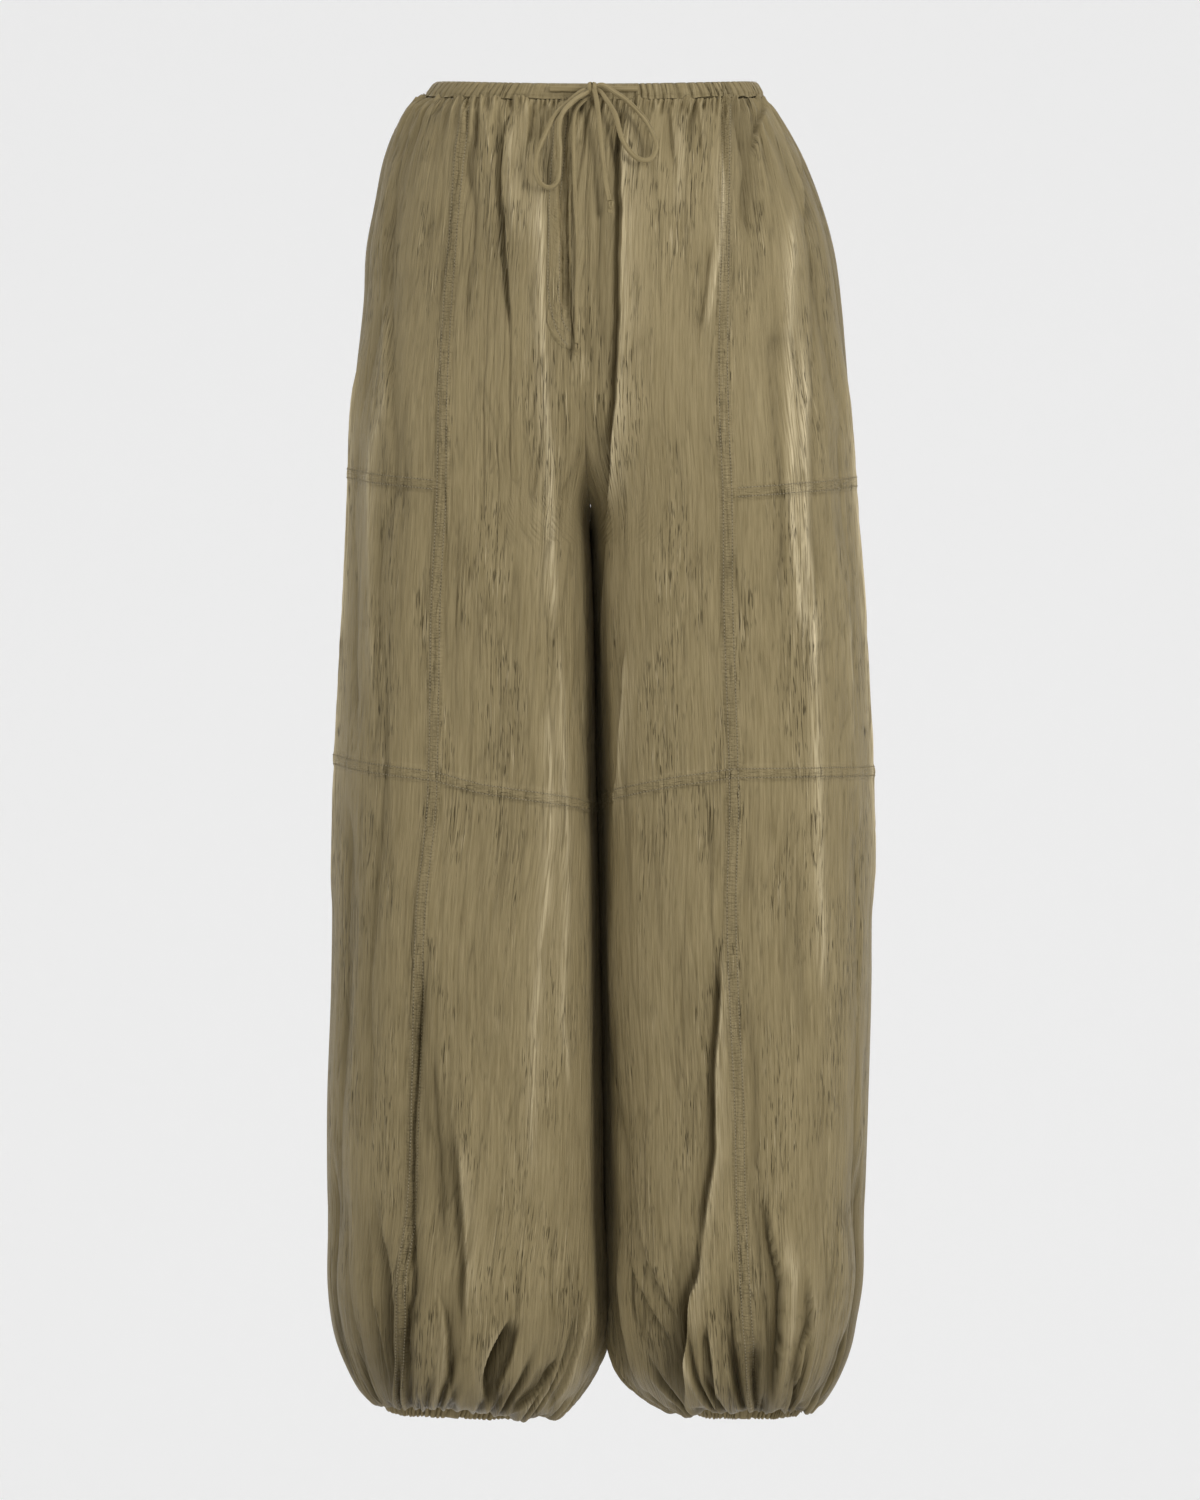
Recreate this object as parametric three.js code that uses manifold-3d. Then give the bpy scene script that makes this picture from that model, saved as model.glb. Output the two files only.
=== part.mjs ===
// Wide trousers of thin cloth with a gathered waist, a bow at the waist and gathered cuffs, filled out as worn.
// Millimetres. The origin is the middle of the waist ring, +Z up, the front faces -Y, +X is the picture's right.
import * as THREE from "three";
import { mergeVertices } from "three/addons/utils/BufferGeometryUtils.js";
import Module from "manifold-3d";

const wasm = await Module();
wasm.setup();

const CLOTH_COLOR = "#857955";
const BAND_COLOR = "#7d714e";
const TIE_COLOR = "#81764f";
const CLOTH_ROUGHNESS = 0.55;

// Cloth walls and the space left at each seam.
const WALL = 1.6;
const SEAM_GAP = 0.3;

// Waistband: a soft ring, wider at its bottom edge.
const BAND = {
  top: 6.2,
  bottom: -5.8,
  thick: 3.6,
  ribs: 76,
  ribDepth: 1.3,
  topLeft: -126,
  topRight: 123,
  bottomLeft: -135,
  bottomRight: 129,
  topDepth: 92,
  bottomDepth: 96,
  frontDip: 4,
  plainHalf: 34,
};

// Cuffs: small gathered rings below the legs.
const CUFF = { top: -1014, height: 8, thick: 3, ribs: 36, ribDepth: 1 };
const CUFFS = {
  left: { x: -110, halfWidth: 56, halfDepth: 29 },
  right: { x: 115, halfWidth: 44, halfDepth: 45 },
};
const HEM_TILT = { left: -0.04, right: 0 };

// The round waist starts to close into two legs at the first drop, and they part at the second.
const CLOSING_DROP = 120;
const FORK_DROP = 350;
const HIP_DROP = 306;
const KNEE_DROP = 528;
const TOP_DROP = 6.4;
const HEM_DROP = 1034;

// Where the plane between the legs lies: drop below the waist, x.
const MIDDLE_LINE = [
  [0, 0], [30, -4], [85, -8], [280, -8], [393, -3], [550, 0], [780, 5.5], [930, 8.2], [1040, 8.2],
];

// One row per section: drop along the cloth, height, outer edge, distance of the inner edge from the middle plane,
// place of the long front seam, depth to the front and to the back, squareness of the inner half.
const SECTION_COLUMNS = ["drop", "z", "out", "away", "seam", "front", "back", "square"];
const SECTIONS = {
  left: [
    [6, -6, -134, 0, -100, 94.5, 94.5, 2],
    [15, -15, -148, 0, -103, 101, 101, 2],
    [31, -31, -157, 0, -104, 107, 107, 2],
    [54, -54, -164.5, 0, -106, 112, 113, 2],
    [85, -85, -170.5, 0, -108, 116, 121, 2.1],
    [123, -123, -177.5, 0, -111, 119, 129, 2.2],
    [162, -162, -179.5, 0, -114, 121, 135, 2.3],
    [239, -239, -187.5, 0, -118, 122, 139, 2.9],
    [316, -316, -191.5, 0, -120, 121, 137, 3.3],
    [393, -393, -195, 0, -124, 120, 132, 3.6],
    [547, -547, -202.5, 0, -127, 120, 128, 3.5],
    [624, -624, -204.5, 0, -135, 120, 127, 3.5],
    [701, -701, -206, 0, -138.6, 120, 126, 3.4],
    [778, -778, -208.5, 0, -141, 120, 126, 3.2],
    [855, -855, -208.5, 0, -144, 120, 125, 3],
    [912, -912, -207, 0, -150, 119, 123, 2.8],
    [947, -947, -203.5, 1, -151, 116, 120, 2.6],
    [970, -970, -198, 6, -152, 110, 114, 2.4],
    [988, -988, -190.5, 15, -152, 102, 106, 2.3],
    [1001, -1001, -182.5, 24, -152, 92, 95, 2.2],
    [1011, -1009.5, -174.5, 31, -151, 80, 82, 2.2],
    [1019, -1013.8, -172, 38, -150, 64, 66, 2.1],
    [1027, -1014, -170.3, 49, -148, 43, 44, 2],
    [1034, -1012.2, -165.5, 62, -146, 29, 29, 2],
  ],
  right: [
    [6, -6, 127.5, 0, 99, 94.5, 94.5, 2],
    [15, -15, 136, 0, 99, 101, 101, 2],
    [31, -31, 146, 0, 98, 107, 107, 2],
    [54, -54, 158, 0, 97, 112, 113, 2],
    [85, -85, 170, 0, 96, 116, 121, 2.1],
    [123, -123, 180.5, 0, 96, 119, 129, 2.2],
    [162, -162, 186, 0, 95.5, 121, 135, 2.3],
    [239, -239, 192.5, 0, 95.5, 122, 139, 2.9],
    [316, -316, 198, 0, 99, 121, 137, 3.3],
    [393, -393, 204, 0, 99.5, 120, 132, 3.6],
    [547, -547, 211, 0, 104, 120, 128, 3.5],
    [624, -624, 211, 0, 102, 120, 127, 3.5],
    [701, -701, 210.3, 0, 104, 120, 126, 3.4],
    [778, -778, 208, 0, 107.8, 120, 126, 3.2],
    [855, -855, 205.6, 0, 109.3, 120, 125, 3],
    [912, -912, 203, 0, 112, 119, 123, 2.8],
    [947, -947, 197.5, 1, 114, 116, 120, 2.6],
    [970, -970, 193, 5, 116, 110, 114, 2.4],
    [988, -988, 185.5, 12, 117, 102, 106, 2.3],
    [1001, -1001, 177.5, 24, 118, 92, 95, 2.2],
    [1011, -1009.5, 170.5, 36, 119, 80, 82, 2.2],
    [1019, -1014.2, 166.5, 45, 120, 70, 72, 2.1],
    [1027, -1014.3, 164.5, 55, 121, 55, 56, 2],
    [1034, -1012.2, 159, 62.8, 122, 45, 45, 2],
  ],
};

// How far the hip and knee seams sag below their own drop: place across the panels, extra drop.
// Places count panels from the middle seam: 0 to 1 is the front, 1 to 2 the side, 2 to 3 the back.
const HIP_SAG = {
  left: [[0, 0], [1, 0], [1.5, -13]],
  right: [[0, 0], [1, 6], [1.5, -6]],
};
const KNEE_SAG = {
  left: [[0, 25], [0.35, 23], [0.8, 10], [1, 0], [1.5, -16]],
  right: [[0, 30], [0.25, 22], [0.75, 4], [1, -2], [1.5, -4]],
};

// Rows and columns of the cloth grid.
const UPPER_ROWS = [TOP_DROP, 17, 36, 65, 105, 150, 200, 255, HIP_DROP, 328, 342, FORK_DROP, 392, 435, 480, KNEE_DROP];
const LOWER_ROWS = [KNEE_DROP, 590, 660, 740, 810, 870, 915, 950, 975, 993, 1006, 1016, 1024, HEM_DROP];
const FRONT_COLUMNS = 20;
const SIDE_COLUMNS = 16;
const BACK_COLUMNS = 13;

// The largest folds: x and drop at the top end, x and drop at the bottom end, half width, height of the fold.
const FOLD_COLUMNS = ["xTop", "dropTop", "xBottom", "dropBottom", "half", "high"];
const FRONT_FOLDS = [
  [-92, 10, -98, 200, 11, -4],
  [-71, 12, -64, 195, 12, -6],
  [-41, 77, -36, 400, 14, 3],
  [-36, 400, -46, 780, 14, 3],
  [18, 25, 13, 250, 13, -7],
  [121, 14, 125, 125, 12, -6],
  [91, 77, 82, 200, 12, 3],
  [152, 108, 163, 520, 16, 3],
  [-105, 300, -102, 470, 12, -3],
  [20, 420, 14, 560, 11, 3],
  [-141, 760, -142, 1008, 13, -8],
  [-112, 800, -108, 950, 16, -5],
  [-80, 935, -82, 1010, 12, -9],
  [92, 670, 70, 1006, 13, -6],
  [128, 800, 143, 1008, 13, -8],
  [30, 860, 62, 975, 13, -5],
];
const BACK_FOLDS = [
  [-88, 10, -96, 220, 13, -5],
  [-30, 12, -34, 260, 13, -5],
  [44, 12, 38, 230, 13, -5],
  [104, 12, 112, 190, 13, -5],
  [-120, 780, -132, 1006, 14, -7],
  [-70, 900, -78, 1008, 13, -8],
  [84, 800, 92, 1006, 14, -7],
  [132, 880, 140, 1008, 13, -7],
];

// Gathers that fade away from the waist and from the cuffs.
const WAIST_GATHERS = { perLeg: 12, high: 1.9, fade: 45 };
const CUFF_GATHERS = { perLeg: 13, high: 4.5, fade: 34, strongest: 1004 };

// Fly: a thin placket laid on the left front, its free edge beside the middle seam.
const FLY = { firstColumn: 1, lastColumn: 6, topDrop: 10, endInner: 200, endOuter: 174, lift: 0.5, wall: 1 };

// Tie: a narrow tube of the same cloth, drawn out of two slots and tied in a bow. The tables give its route as it
// looks from the front, and all of it lies lower by TIE_LOWER, because it is nearer to the eye than the origin.
const TIE_WIDTH = 3.4;
const TAIL_WIDTH = 2.8;
const TIE_LOWER = 3;
const KNOT = { at: [-4.5, -98.9, 0.6], radii: [5.6, 4.4, 4.8] };
const BAND_STRETCHES = { drawstring_left_band: [-37, -28, -18, -8], drawstring_right_band: [30, 20, 10, 0] };
const TIE_PATHS = {
  bow_loop_left: [
    KNOT.at, [-11, -100.5, -0.5], [-17, -102.5, -4.6], [-24, -105.5, -11], [-32.3, -110.5, -19.3],
    [-40.5, -115, -35], [-46.5, -118, -50], [-47.6, -120, -61.5], [-44.6, -121, -71.6], [-38, -121.5, -75.6],
    [-32, -121.5, -73], [-29.8, -121, -65], [-29.2, -120, -48], [-29.8, -117, -30], [-27.7, -114, -19.3],
    [-21.6, -110, -11.6], [-14, -106.5, -5.4], [-8.5, -103.6, -2], KNOT.at,
  ],
  bow_loop_right: [
    KNOT.at, [1, -101.5, -1], [5.4, -106, -6.5], [13, -111.5, -19], [18.4, -116, -38], [24.6, -119, -48],
    [32, -120.5, -54], [40, -120, -54], [44.7, -118, -45], [43.6, -116.5, -38], [38.5, -113, -27],
    [30.8, -110, -17], [20.8, -106.8, -7.6], [10.5, -103, -0.6], [3, -101.5, 4], KNOT.at,
  ],
  tail_short: [
    KNOT.at, [-3, -104.4, 0], [-1.2, -107.5, -8], [1.5, -114.5, -31], [3.8, -118.5, -54], [6.2, -121.5, -73],
    [8.6, -123.4, -85.6],
  ],
  tail_long: [
    KNOT.at, [-6.5, -101, -5], [-11.5, -103, -9], [-17.3, -106.5, -16], [-18.6, -113.5, -31],
    [-18.4, -119.5, -58], [-17, -122.4, -92], [-15.4, -124.8, -124], [-16.4, -126.8, -162], [-16.2, -127.6, -194.6],
  ],
};
const TAIL_KNOTS = {
  tail_knot_short: { at: [9.6, -123.9, -89.3], radii: [3, 2.4, 3.4] },
  tail_knot_long: { at: [-16, -127.8, -198.4], radii: [2.4, 2.2, 3.5] },
};

const mix = (a, b, t) => a + (b - a) * t;
const clamp01 = (t) => Math.min(1, Math.max(0, t));

function smoothStep(low, high, value) {
  const t = clamp01((value - low) / (high - low));
  return t * t * (3 - 2 * t);
}

// Straight reading of a two-column table.
function readLine(table, at) {
  if (at <= table[0][0]) {
    return table[0][1];
  }
  for (let k = 1; k < table.length; k++) {
    if (at <= table[k][0]) {
      const t = (at - table[k - 1][0]) / (table[k][0] - table[k - 1][0]);
      return mix(table[k - 1][1], table[k][1], t);
    }
  }
  return table[table.length - 1][1];
}

// Smooth reading of a table with many columns, by cubic pieces through its rows.
function readSmooth(table, at) {
  const last = table.length - 1;
  const place = Math.min(Math.max(at, table[0][0]), table[last][0]);
  let k = 0;
  while (k < last - 1 && place > table[k + 1][0]) {
    k++;
  }
  const [a, b] = [table[k], table[k + 1]];
  const before = table[Math.max(0, k - 1)];
  const after = table[Math.min(last, k + 2)];
  const width = b[0] - a[0];
  const t = (place - a[0]) / width;
  const row = {};
  SECTION_COLUMNS.forEach((name, c) => {
    const slopeA = (b[c] - before[c]) / (b[0] - before[0]);
    const slopeB = (after[c] - a[c]) / (after[0] - a[0]);
    const t2 = t * t;
    const t3 = t2 * t;
    row[name] =
      (2 * t3 - 3 * t2 + 1) * a[c] +
      (t3 - 2 * t2 + t) * width * slopeA +
      (3 * t2 - 2 * t3) * b[c] +
      (t3 - t2) * width * slopeB;
  });
  return row;
}

// Height on a rounded square of half height 1, at a place -1 to 1 across it.
function superHeight(across, power) {
  const inside = Math.min(1, Math.abs(across));
  return Math.pow(Math.max(0, 1 - Math.pow(inside, power)), 1 / power);
}

// The closed outline of one leg at a drop, with the angles of its seams counted from the outer side.
function sectionAt(side, drop) {
  const row = readSmooth(SECTIONS[side], drop);
  const middle = readLine(MIDDLE_LINE, drop);
  const reach = Math.abs(row.out - middle);
  const closed = smoothStep(CLOSING_DROP, FORK_DROP, drop);
  const clear = SEAM_GAP / 2 + Math.pow(closed, 4) * (WALL / 2 + 0.05);
  const inner = clear + Math.max(0, row.away);
  const half = (reach - inner) * (1 - 0.5 * closed);
  const centre = reach - half;
  const outerPower = 2 + 0.25 * (row.square - 2);
  const cut = Math.min(1, (centre - inner) / half);
  const seamAcross = (Math.abs(row.seam - middle) - centre) / half;
  const seamPower = seamAcross < 0 ? row.square : outerPower;
  return {
    ...row,
    middle,
    half,
    centre,
    outerPower,
    middleAngle: Math.atan2(superHeight(cut, row.square), -cut),
    seamAngle: Math.atan2(superHeight(seamAcross, seamPower), seamAcross),
    sign: side === "left" ? -1 : 1,
  };
}

function angleAt(section, place) {
  if (place < 1) {
    return mix(-section.middleAngle, -section.seamAngle, place);
  }
  if (place < 2) {
    return mix(-section.seamAngle, section.seamAngle, place - 1);
  }
  return mix(section.seamAngle, section.middleAngle, place - 2);
}

// Extra drop of a grid row at a place, so that the hip and knee seams run along rows.
function sagAt(side, place, drop) {
  const mirrored = place > 1.5 ? 3 - place : place;
  const hip = readLine(HIP_SAG[side], mirrored);
  const knee = readLine(KNEE_SAG[side], mirrored);
  return readLine([[60, 0], [HIP_DROP, hip], [KNEE_DROP, knee], [800, 0]], drop);
}

// Middle of the cloth without its folds.
function plainPoint(side, place, drop) {
  const section = sectionAt(side, drop);
  const angle = angleAt(section, place);
  const c = Math.cos(angle);
  const s = Math.sin(angle);
  const power = c < 0 ? section.square : section.outerPower;
  const r = 1 / Math.pow(Math.pow(Math.abs(c), power) + Math.pow(Math.abs(s), power), 1 / power);
  const x = section.middle + section.sign * (section.centre + section.half * r * c);
  const y = r * s * (s < 0 ? section.front : section.back);
  const tilt = HEM_TILT[side] * smoothStep(960, 1010, drop) * (x - CUFFS[side].x);
  return new THREE.Vector3(x, y, section.z + tilt);
}

// Outward direction of the grid that a point function makes.
function outward(side, pointAt, place, drop) {
  const du = 0.004;
  const dv = 1;
  const a = pointAt(side, Math.max(0, place - du), drop);
  const b = pointAt(side, Math.min(3, place + du), drop);
  const c = pointAt(side, place, Math.max(TOP_DROP, drop - dv));
  const d = pointAt(side, place, Math.min(HEM_DROP, drop + dv));
  const across = b.sub(a);
  const down = d.sub(c);
  const normal = side === "left" ? across.cross(down) : down.cross(across);
  return normal.normalize();
}

function foldSum(table, x, drop) {
  let sum = 0;
  for (const row of table) {
    const fold = Object.fromEntries(FOLD_COLUMNS.map((name, k) => [name, row[k]]));
    const along = (drop - fold.dropTop) / (fold.dropBottom - fold.dropTop);
    const ends = smoothStep(-0.05, 0.2, along) * (1 - smoothStep(0.75, 1.05, along));
    const away = (x - mix(fold.xTop, fold.xBottom, along)) / fold.half;
    sum += fold.high * ends * Math.exp(-away * away);
  }
  return sum;
}

// How far the folded cloth stands out of its plain form.
function foldHeight(side, place, drop, plain, normal) {
  const facing = Math.abs(normal.y);
  const table = normal.y < 0 ? FRONT_FOLDS : BACK_FOLDS;
  const folds = foldSum(table, plain.x, drop) * smoothStep(0.25, 0.7, facing);
  const shift = side === "left" ? 0 : 0.4;
  const waistWave = Math.cos(2 * Math.PI * ((WAIST_GATHERS.perLeg * place) / 3 + shift));
  const waist = WAIST_GATHERS.high * waistWave * Math.exp(-(drop - TOP_DROP) / WAIST_GATHERS.fade);
  const cuffWave = Math.cos(2 * Math.PI * ((CUFF_GATHERS.perLeg * place) / 3 + shift));
  const rise = (drop - CUFF_GATHERS.strongest) / (drop > CUFF_GATHERS.strongest ? 12 : CUFF_GATHERS.fade);
  const cuff = CUFF_GATHERS.high * cuffWave * Math.exp(-rise * rise);
  const fromSeam = Math.min(place, 3 - place);
  const middle = smoothStep(0, 0.12, fromSeam);
  const hem = 1 - smoothStep(1012, 1026, drop);
  return (folds * hem + waist + cuff) * middle;
}

function foldedPoint(side, place, drop) {
  const plain = plainPoint(side, place, drop);
  const normal = outward(side, plainPoint, place, drop);
  return plain.addScaledVector(normal, foldHeight(side, place, drop, plain, normal));
}

// How far the top of the cloth hangs with the waistband's front, fading further down.
function frontDipAt(y, drop) {
  const frontness = clamp01(-y / (BAND.bottomDepth - BAND.thick));
  return BAND.frontDip * frontness * frontness * (1 - smoothStep(TOP_DROP, 150, drop));
}

// A point of the folded cloth moved out by a distance, kept off the other leg, the waistband and the cuff.
function clothPoint(side, place, drop, out) {
  const point = foldedPoint(side, place, drop).addScaledVector(outward(side, foldedPoint, place, drop), out);
  const middle = readLine(MIDDLE_LINE, drop);
  const sign = side === "left" ? -1 : 1;
  point.x = middle + sign * Math.max(sign * (point.x - middle), SEAM_GAP / 2);
  point.z = Math.min(point.z, BAND.bottom - SEAM_GAP) - frontDipAt(point.y, drop);
  return point;
}

function material(color) {
  return new THREE.MeshStandardMaterial({ color, roughness: CLOTH_ROUGHNESS, metalness: 0 });
}

// A closed wall between two grids of points, rows by columns.
function wallGeometry(outer, inner, flip) {
  const rows = outer.length;
  const columns = outer[0].length;
  const points = [...outer.flat(), ...inner.flat()];
  const faces = [];
  const at = (layer, r, c) => layer * rows * columns + r * columns + c;
  const quad = (a, b, c, d) => {
    faces.push(flip ? [a, c, b] : [a, b, c], flip ? [a, d, c] : [a, c, d]);
  };
  for (let r = 0; r < rows - 1; r++) {
    for (let c = 0; c < columns - 1; c++) {
      quad(at(0, r, c), at(0, r + 1, c), at(0, r + 1, c + 1), at(0, r, c + 1));
      quad(at(1, r, c), at(1, r, c + 1), at(1, r + 1, c + 1), at(1, r + 1, c));
    }
  }
  for (let r = 0; r < rows - 1; r++) {
    quad(at(0, r, 0), at(1, r, 0), at(1, r + 1, 0), at(0, r + 1, 0));
    quad(at(0, r, columns - 1), at(0, r + 1, columns - 1), at(1, r + 1, columns - 1), at(1, r, columns - 1));
  }
  for (let c = 0; c < columns - 1; c++) {
    quad(at(0, 0, c), at(0, 0, c + 1), at(1, 0, c + 1), at(1, 0, c));
    quad(at(0, rows - 1, c), at(1, rows - 1, c), at(1, rows - 1, c + 1), at(0, rows - 1, c + 1));
  }
  const geometry = new THREE.BufferGeometry();
  geometry.setAttribute("position", new THREE.Float32BufferAttribute(points.flatMap((p) => [p.x, p.y, p.z]), 3));
  geometry.setIndex(faces.flat());
  return geometry;
}

// Moves the edge points of a grid towards their neighbours, so that half the seam gap stays open.
function openSeams(grid) {
  const pull = (edge, next) => {
    const towards = next.clone().sub(edge);
    return edge.clone().addScaledVector(towards.normalize(), SEAM_GAP / 2);
  };
  const wide = grid.map((row) => {
    const last = row.length - 1;
    return row.map((p, c) => (c === 0 ? pull(p, row[1]) : c === last ? pull(p, row[last - 1]) : p));
  });
  const last = wide.length - 1;
  return wide.map((row, r) => {
    const next = r === 0 ? wide[1] : wide[last - 1];
    return r === 0 || r === last ? row.map((p, c) => pull(p, next[c])) : row;
  });
}

// The outer and the inner grid of points of one panel.
function panelLayers(side, fromPlace, toPlace, columns, drops) {
  const layer = (out) =>
    openSeams(
      drops.map((drop) =>
        Array.from({ length: columns + 1 }, (_, c) => {
          const place = mix(fromPlace, toPlace, c / columns);
          return clothPoint(side, place, drop + sagAt(side, place, drop), out);
        }),
      ),
    );
  return { outer: layer(WALL / 2), inner: layer(-WALL / 2) };
}

function panelGeometry(side, layers) {
  return wallGeometry(layers.outer, layers.inner, side === "left");
}

// A closed ring swept round, from the points of its profile at each angle.
function ringGeometry(steps, profileAt) {
  const rings = Array.from({ length: steps }, (_, k) => profileAt((2 * Math.PI * k) / steps, k));
  const size = rings[0].length;
  const faces = [];
  for (let k = 0; k < steps; k++) {
    const next = (k + 1) % steps;
    for (let p = 0; p < size; p++) {
      const q = (p + 1) % size;
      faces.push([k * size + p, next * size + p, next * size + q], [k * size + p, next * size + q, k * size + q]);
    }
  }
  const geometry = new THREE.BufferGeometry();
  const numbers = rings.flat().flatMap((p) => [p.x, p.y, p.z]);
  geometry.setAttribute("position", new THREE.Float32BufferAttribute(numbers, 3));
  geometry.setIndex(faces.flat());
  return geometry;
}

// The waistband's face at an angle and a share of its height, moved out by a distance.
function bandPoint(angle, share, out) {
  const left = mix(BAND.bottomLeft, BAND.topLeft, share);
  const right = mix(BAND.bottomRight, BAND.topRight, share);
  const depth = mix(BAND.bottomDepth, BAND.topDepth, share);
  const frontness = clamp01(-Math.sin(angle));
  const x = (left + right) / 2 + ((right - left) / 2 + out) * Math.cos(angle);
  const y = (depth + out) * Math.sin(angle);
  const z = mix(BAND.bottom, BAND.top, share) - BAND.frontDip * frontness * frontness;
  return new THREE.Vector3(x, y, z);
}

function waistbandGeometry() {
  return ringGeometry(2 * BAND.ribs, (angle, k) => {
    const plainFront = Math.sin(angle) < 0 && Math.abs(BAND.topRight * Math.cos(angle)) < BAND.plainHalf;
    const rib = plainFront || k % 2 === 0 ? 0 : -BAND.ribDepth;
    return [
      bandPoint(angle, 0, 0.6 * rib - 0.7),
      bandPoint(angle, 0.5, rib),
      bandPoint(angle, 1, 0.6 * rib - 0.7),
      bandPoint(angle, 1, -BAND.thick + 0.5),
      bandPoint(angle, 0, -BAND.thick + 0.5),
    ];
  });
}

function cuffGeometry(side) {
  const cuff = CUFFS[side];
  const point = (angle, z, out) => {
    const x = (cuff.halfWidth + out) * Math.cos(angle);
    const tilt = HEM_TILT[side] * x;
    return new THREE.Vector3(cuff.x + x, (cuff.halfDepth + out) * Math.sin(angle), z + tilt);
  };
  return ringGeometry(2 * CUFF.ribs, (angle, k) => {
    const rib = k % 2 === 0 ? 0 : -CUFF.ribDepth;
    const half = CUFF.thick / 2;
    return [
      point(angle, CUFF.top - CUFF.height, half + rib - 0.4),
      point(angle, CUFF.top, half + rib),
      point(angle, CUFF.top, -half),
      point(angle, CUFF.top - CUFF.height, -half),
    ];
  });
}

// The fly's placket: the left front's own outer points moved out, with a curved lower end.
function flyGeometry(front) {
  const between = (grid, drop, c) => {
    const below = UPPER_ROWS.findIndex((row) => row >= drop);
    const t = (drop - UPPER_ROWS[below - 1]) / (UPPER_ROWS[below] - UPPER_ROWS[below - 1]);
    return grid[below - 1][c].clone().lerp(grid[below][c], t);
  };
  const columns = [];
  for (let c = FLY.firstColumn; c <= FLY.lastColumn; c++) {
    const across = (c - FLY.firstColumn) / (FLY.lastColumn - FLY.firstColumn);
    const end = mix(FLY.endInner, FLY.endOuter, 1 - Math.sqrt(1 - across * across));
    const inside = UPPER_ROWS.filter((drop) => drop > FLY.topDrop && drop < FLY.endOuter - 5);
    columns.push({ c, drops: [FLY.topDrop, ...inside, end] });
  }
  const layer = (out) =>
    columns[0].drops.map((_, r) =>
      columns.map(({ c, drops }) => {
        const outer = between(front.outer, drops[r], c);
        const direction = outer.clone().sub(between(front.inner, drops[r], c)).normalize();
        return outer.addScaledVector(direction, out);
      }),
    );
  return wallGeometry(layer(FLY.lift + FLY.wall), layer(FLY.lift), true);
}

function lowered([x, y, z]) {
  return [x, y, z - TIE_LOWER];
}

function tieGeometry(points, width) {
  const path = new THREE.CatmullRomCurve3(points.map((p) => new THREE.Vector3(...p)), false, "centripetal");
  const shape = new THREE.Shape();
  const sides = 6;
  for (let k = 0; k < sides; k++) {
    const angle = (2 * Math.PI * k) / sides;
    const [x, y] = [(width / 2) * Math.cos(angle), (width / 2) * Math.sin(angle)];
    if (k === 0) {
      shape.moveTo(x, y);
    } else {
      shape.lineTo(x, y);
    }
  }
  shape.closePath();
  const steps = Math.max(4, Math.round(path.getLength() / 8));
  return new THREE.ExtrudeGeometry(shape, { steps, bevelEnabled: false, extrudePath: path });
}

// The path of the tie where it lies on the waistband, from a slot to the knot.
function bandStretch(places) {
  return places.map((x) => {
    const middle = (BAND.bottomLeft + BAND.topLeft + BAND.bottomRight + BAND.topRight) / 4;
    const half = (BAND.bottomRight + BAND.topRight - BAND.bottomLeft - BAND.topLeft) / 4;
    const angle = -Math.acos((x - middle) / half);
    const point = bandPoint(angle, 0.62, TIE_WIDTH / 2 + SEAM_GAP);
    return [point.x, point.y, point.z];
  });
}

function solidFrom(geometry) {
  const loose = geometry.index ? geometry.toNonIndexed() : geometry;
  const bare = new THREE.BufferGeometry();
  bare.setAttribute("position", loose.getAttribute("position"));
  const merged = mergeVertices(bare, 1e-3);
  const vertProperties = merged.attributes.position.array;
  const triVerts = new Uint32Array(merged.index.array);
  return new wasm.Manifold(new wasm.Mesh({ numProp: 3, vertProperties, triVerts }));
}

// A tube cut back from the knot, so that it meets the knot with the seam gap.
function cutByKnot(tube) {
  const grown = KNOT.radii.map((radius) => radius + SEAM_GAP);
  const left = solidFrom(tube).subtract(solidFrom(knotGeometry(lowered(KNOT.at), grown, 12, 8)));
  const mesh = left.getMesh();
  const geometry = new THREE.BufferGeometry();
  geometry.setAttribute("position", new THREE.BufferAttribute(new Float32Array(mesh.vertProperties), 3));
  geometry.setIndex(new THREE.BufferAttribute(new Uint32Array(mesh.triVerts), 1));
  return geometry;
}

function knotGeometry(at, radii, around, rows) {
  const geometry = new THREE.SphereGeometry(1, around, rows);
  geometry.scale(...radii);
  geometry.translate(...at);
  return geometry;
}

const group = new THREE.Group();
group.name = "parachute_pants";

function add(name, geometry, color) {
  const mesh = new THREE.Mesh(geometry, material(color));
  mesh.name = name;
  group.add(mesh);
}

add("waistband", waistbandGeometry(), BAND_COLOR);
const hipRow = UPPER_ROWS.indexOf(HIP_DROP);
const topRows = UPPER_ROWS.slice(0, hipRow + 1);
const midRows = UPPER_ROWS.slice(hipRow);
const PANELS = [
  ["front_upper", 0, FRONT_COLUMNS, UPPER_ROWS],
  ["front_lower", 0, FRONT_COLUMNS, LOWER_ROWS],
  ["side_top", 1, SIDE_COLUMNS, topRows],
  ["side_mid", 1, SIDE_COLUMNS, midRows],
  ["side_lower", 1, SIDE_COLUMNS, LOWER_ROWS],
  ["back_upper", 2, BACK_COLUMNS, UPPER_ROWS],
  ["back_lower", 2, BACK_COLUMNS, LOWER_ROWS],
];
for (const side of ["left", "right"]) {
  for (const [name, place, columns, drops] of PANELS) {
    const layers = panelLayers(side, place, place + 1, columns, drops);
    add(`${side}_${name}`, panelGeometry(side, layers), CLOTH_COLOR);
    if (side === "left" && name === "front_upper") {
      add("fly", flyGeometry(layers), CLOTH_COLOR);
    }
  }
  add(`cuff_${side}`, cuffGeometry(side), BAND_COLOR);
}
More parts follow.
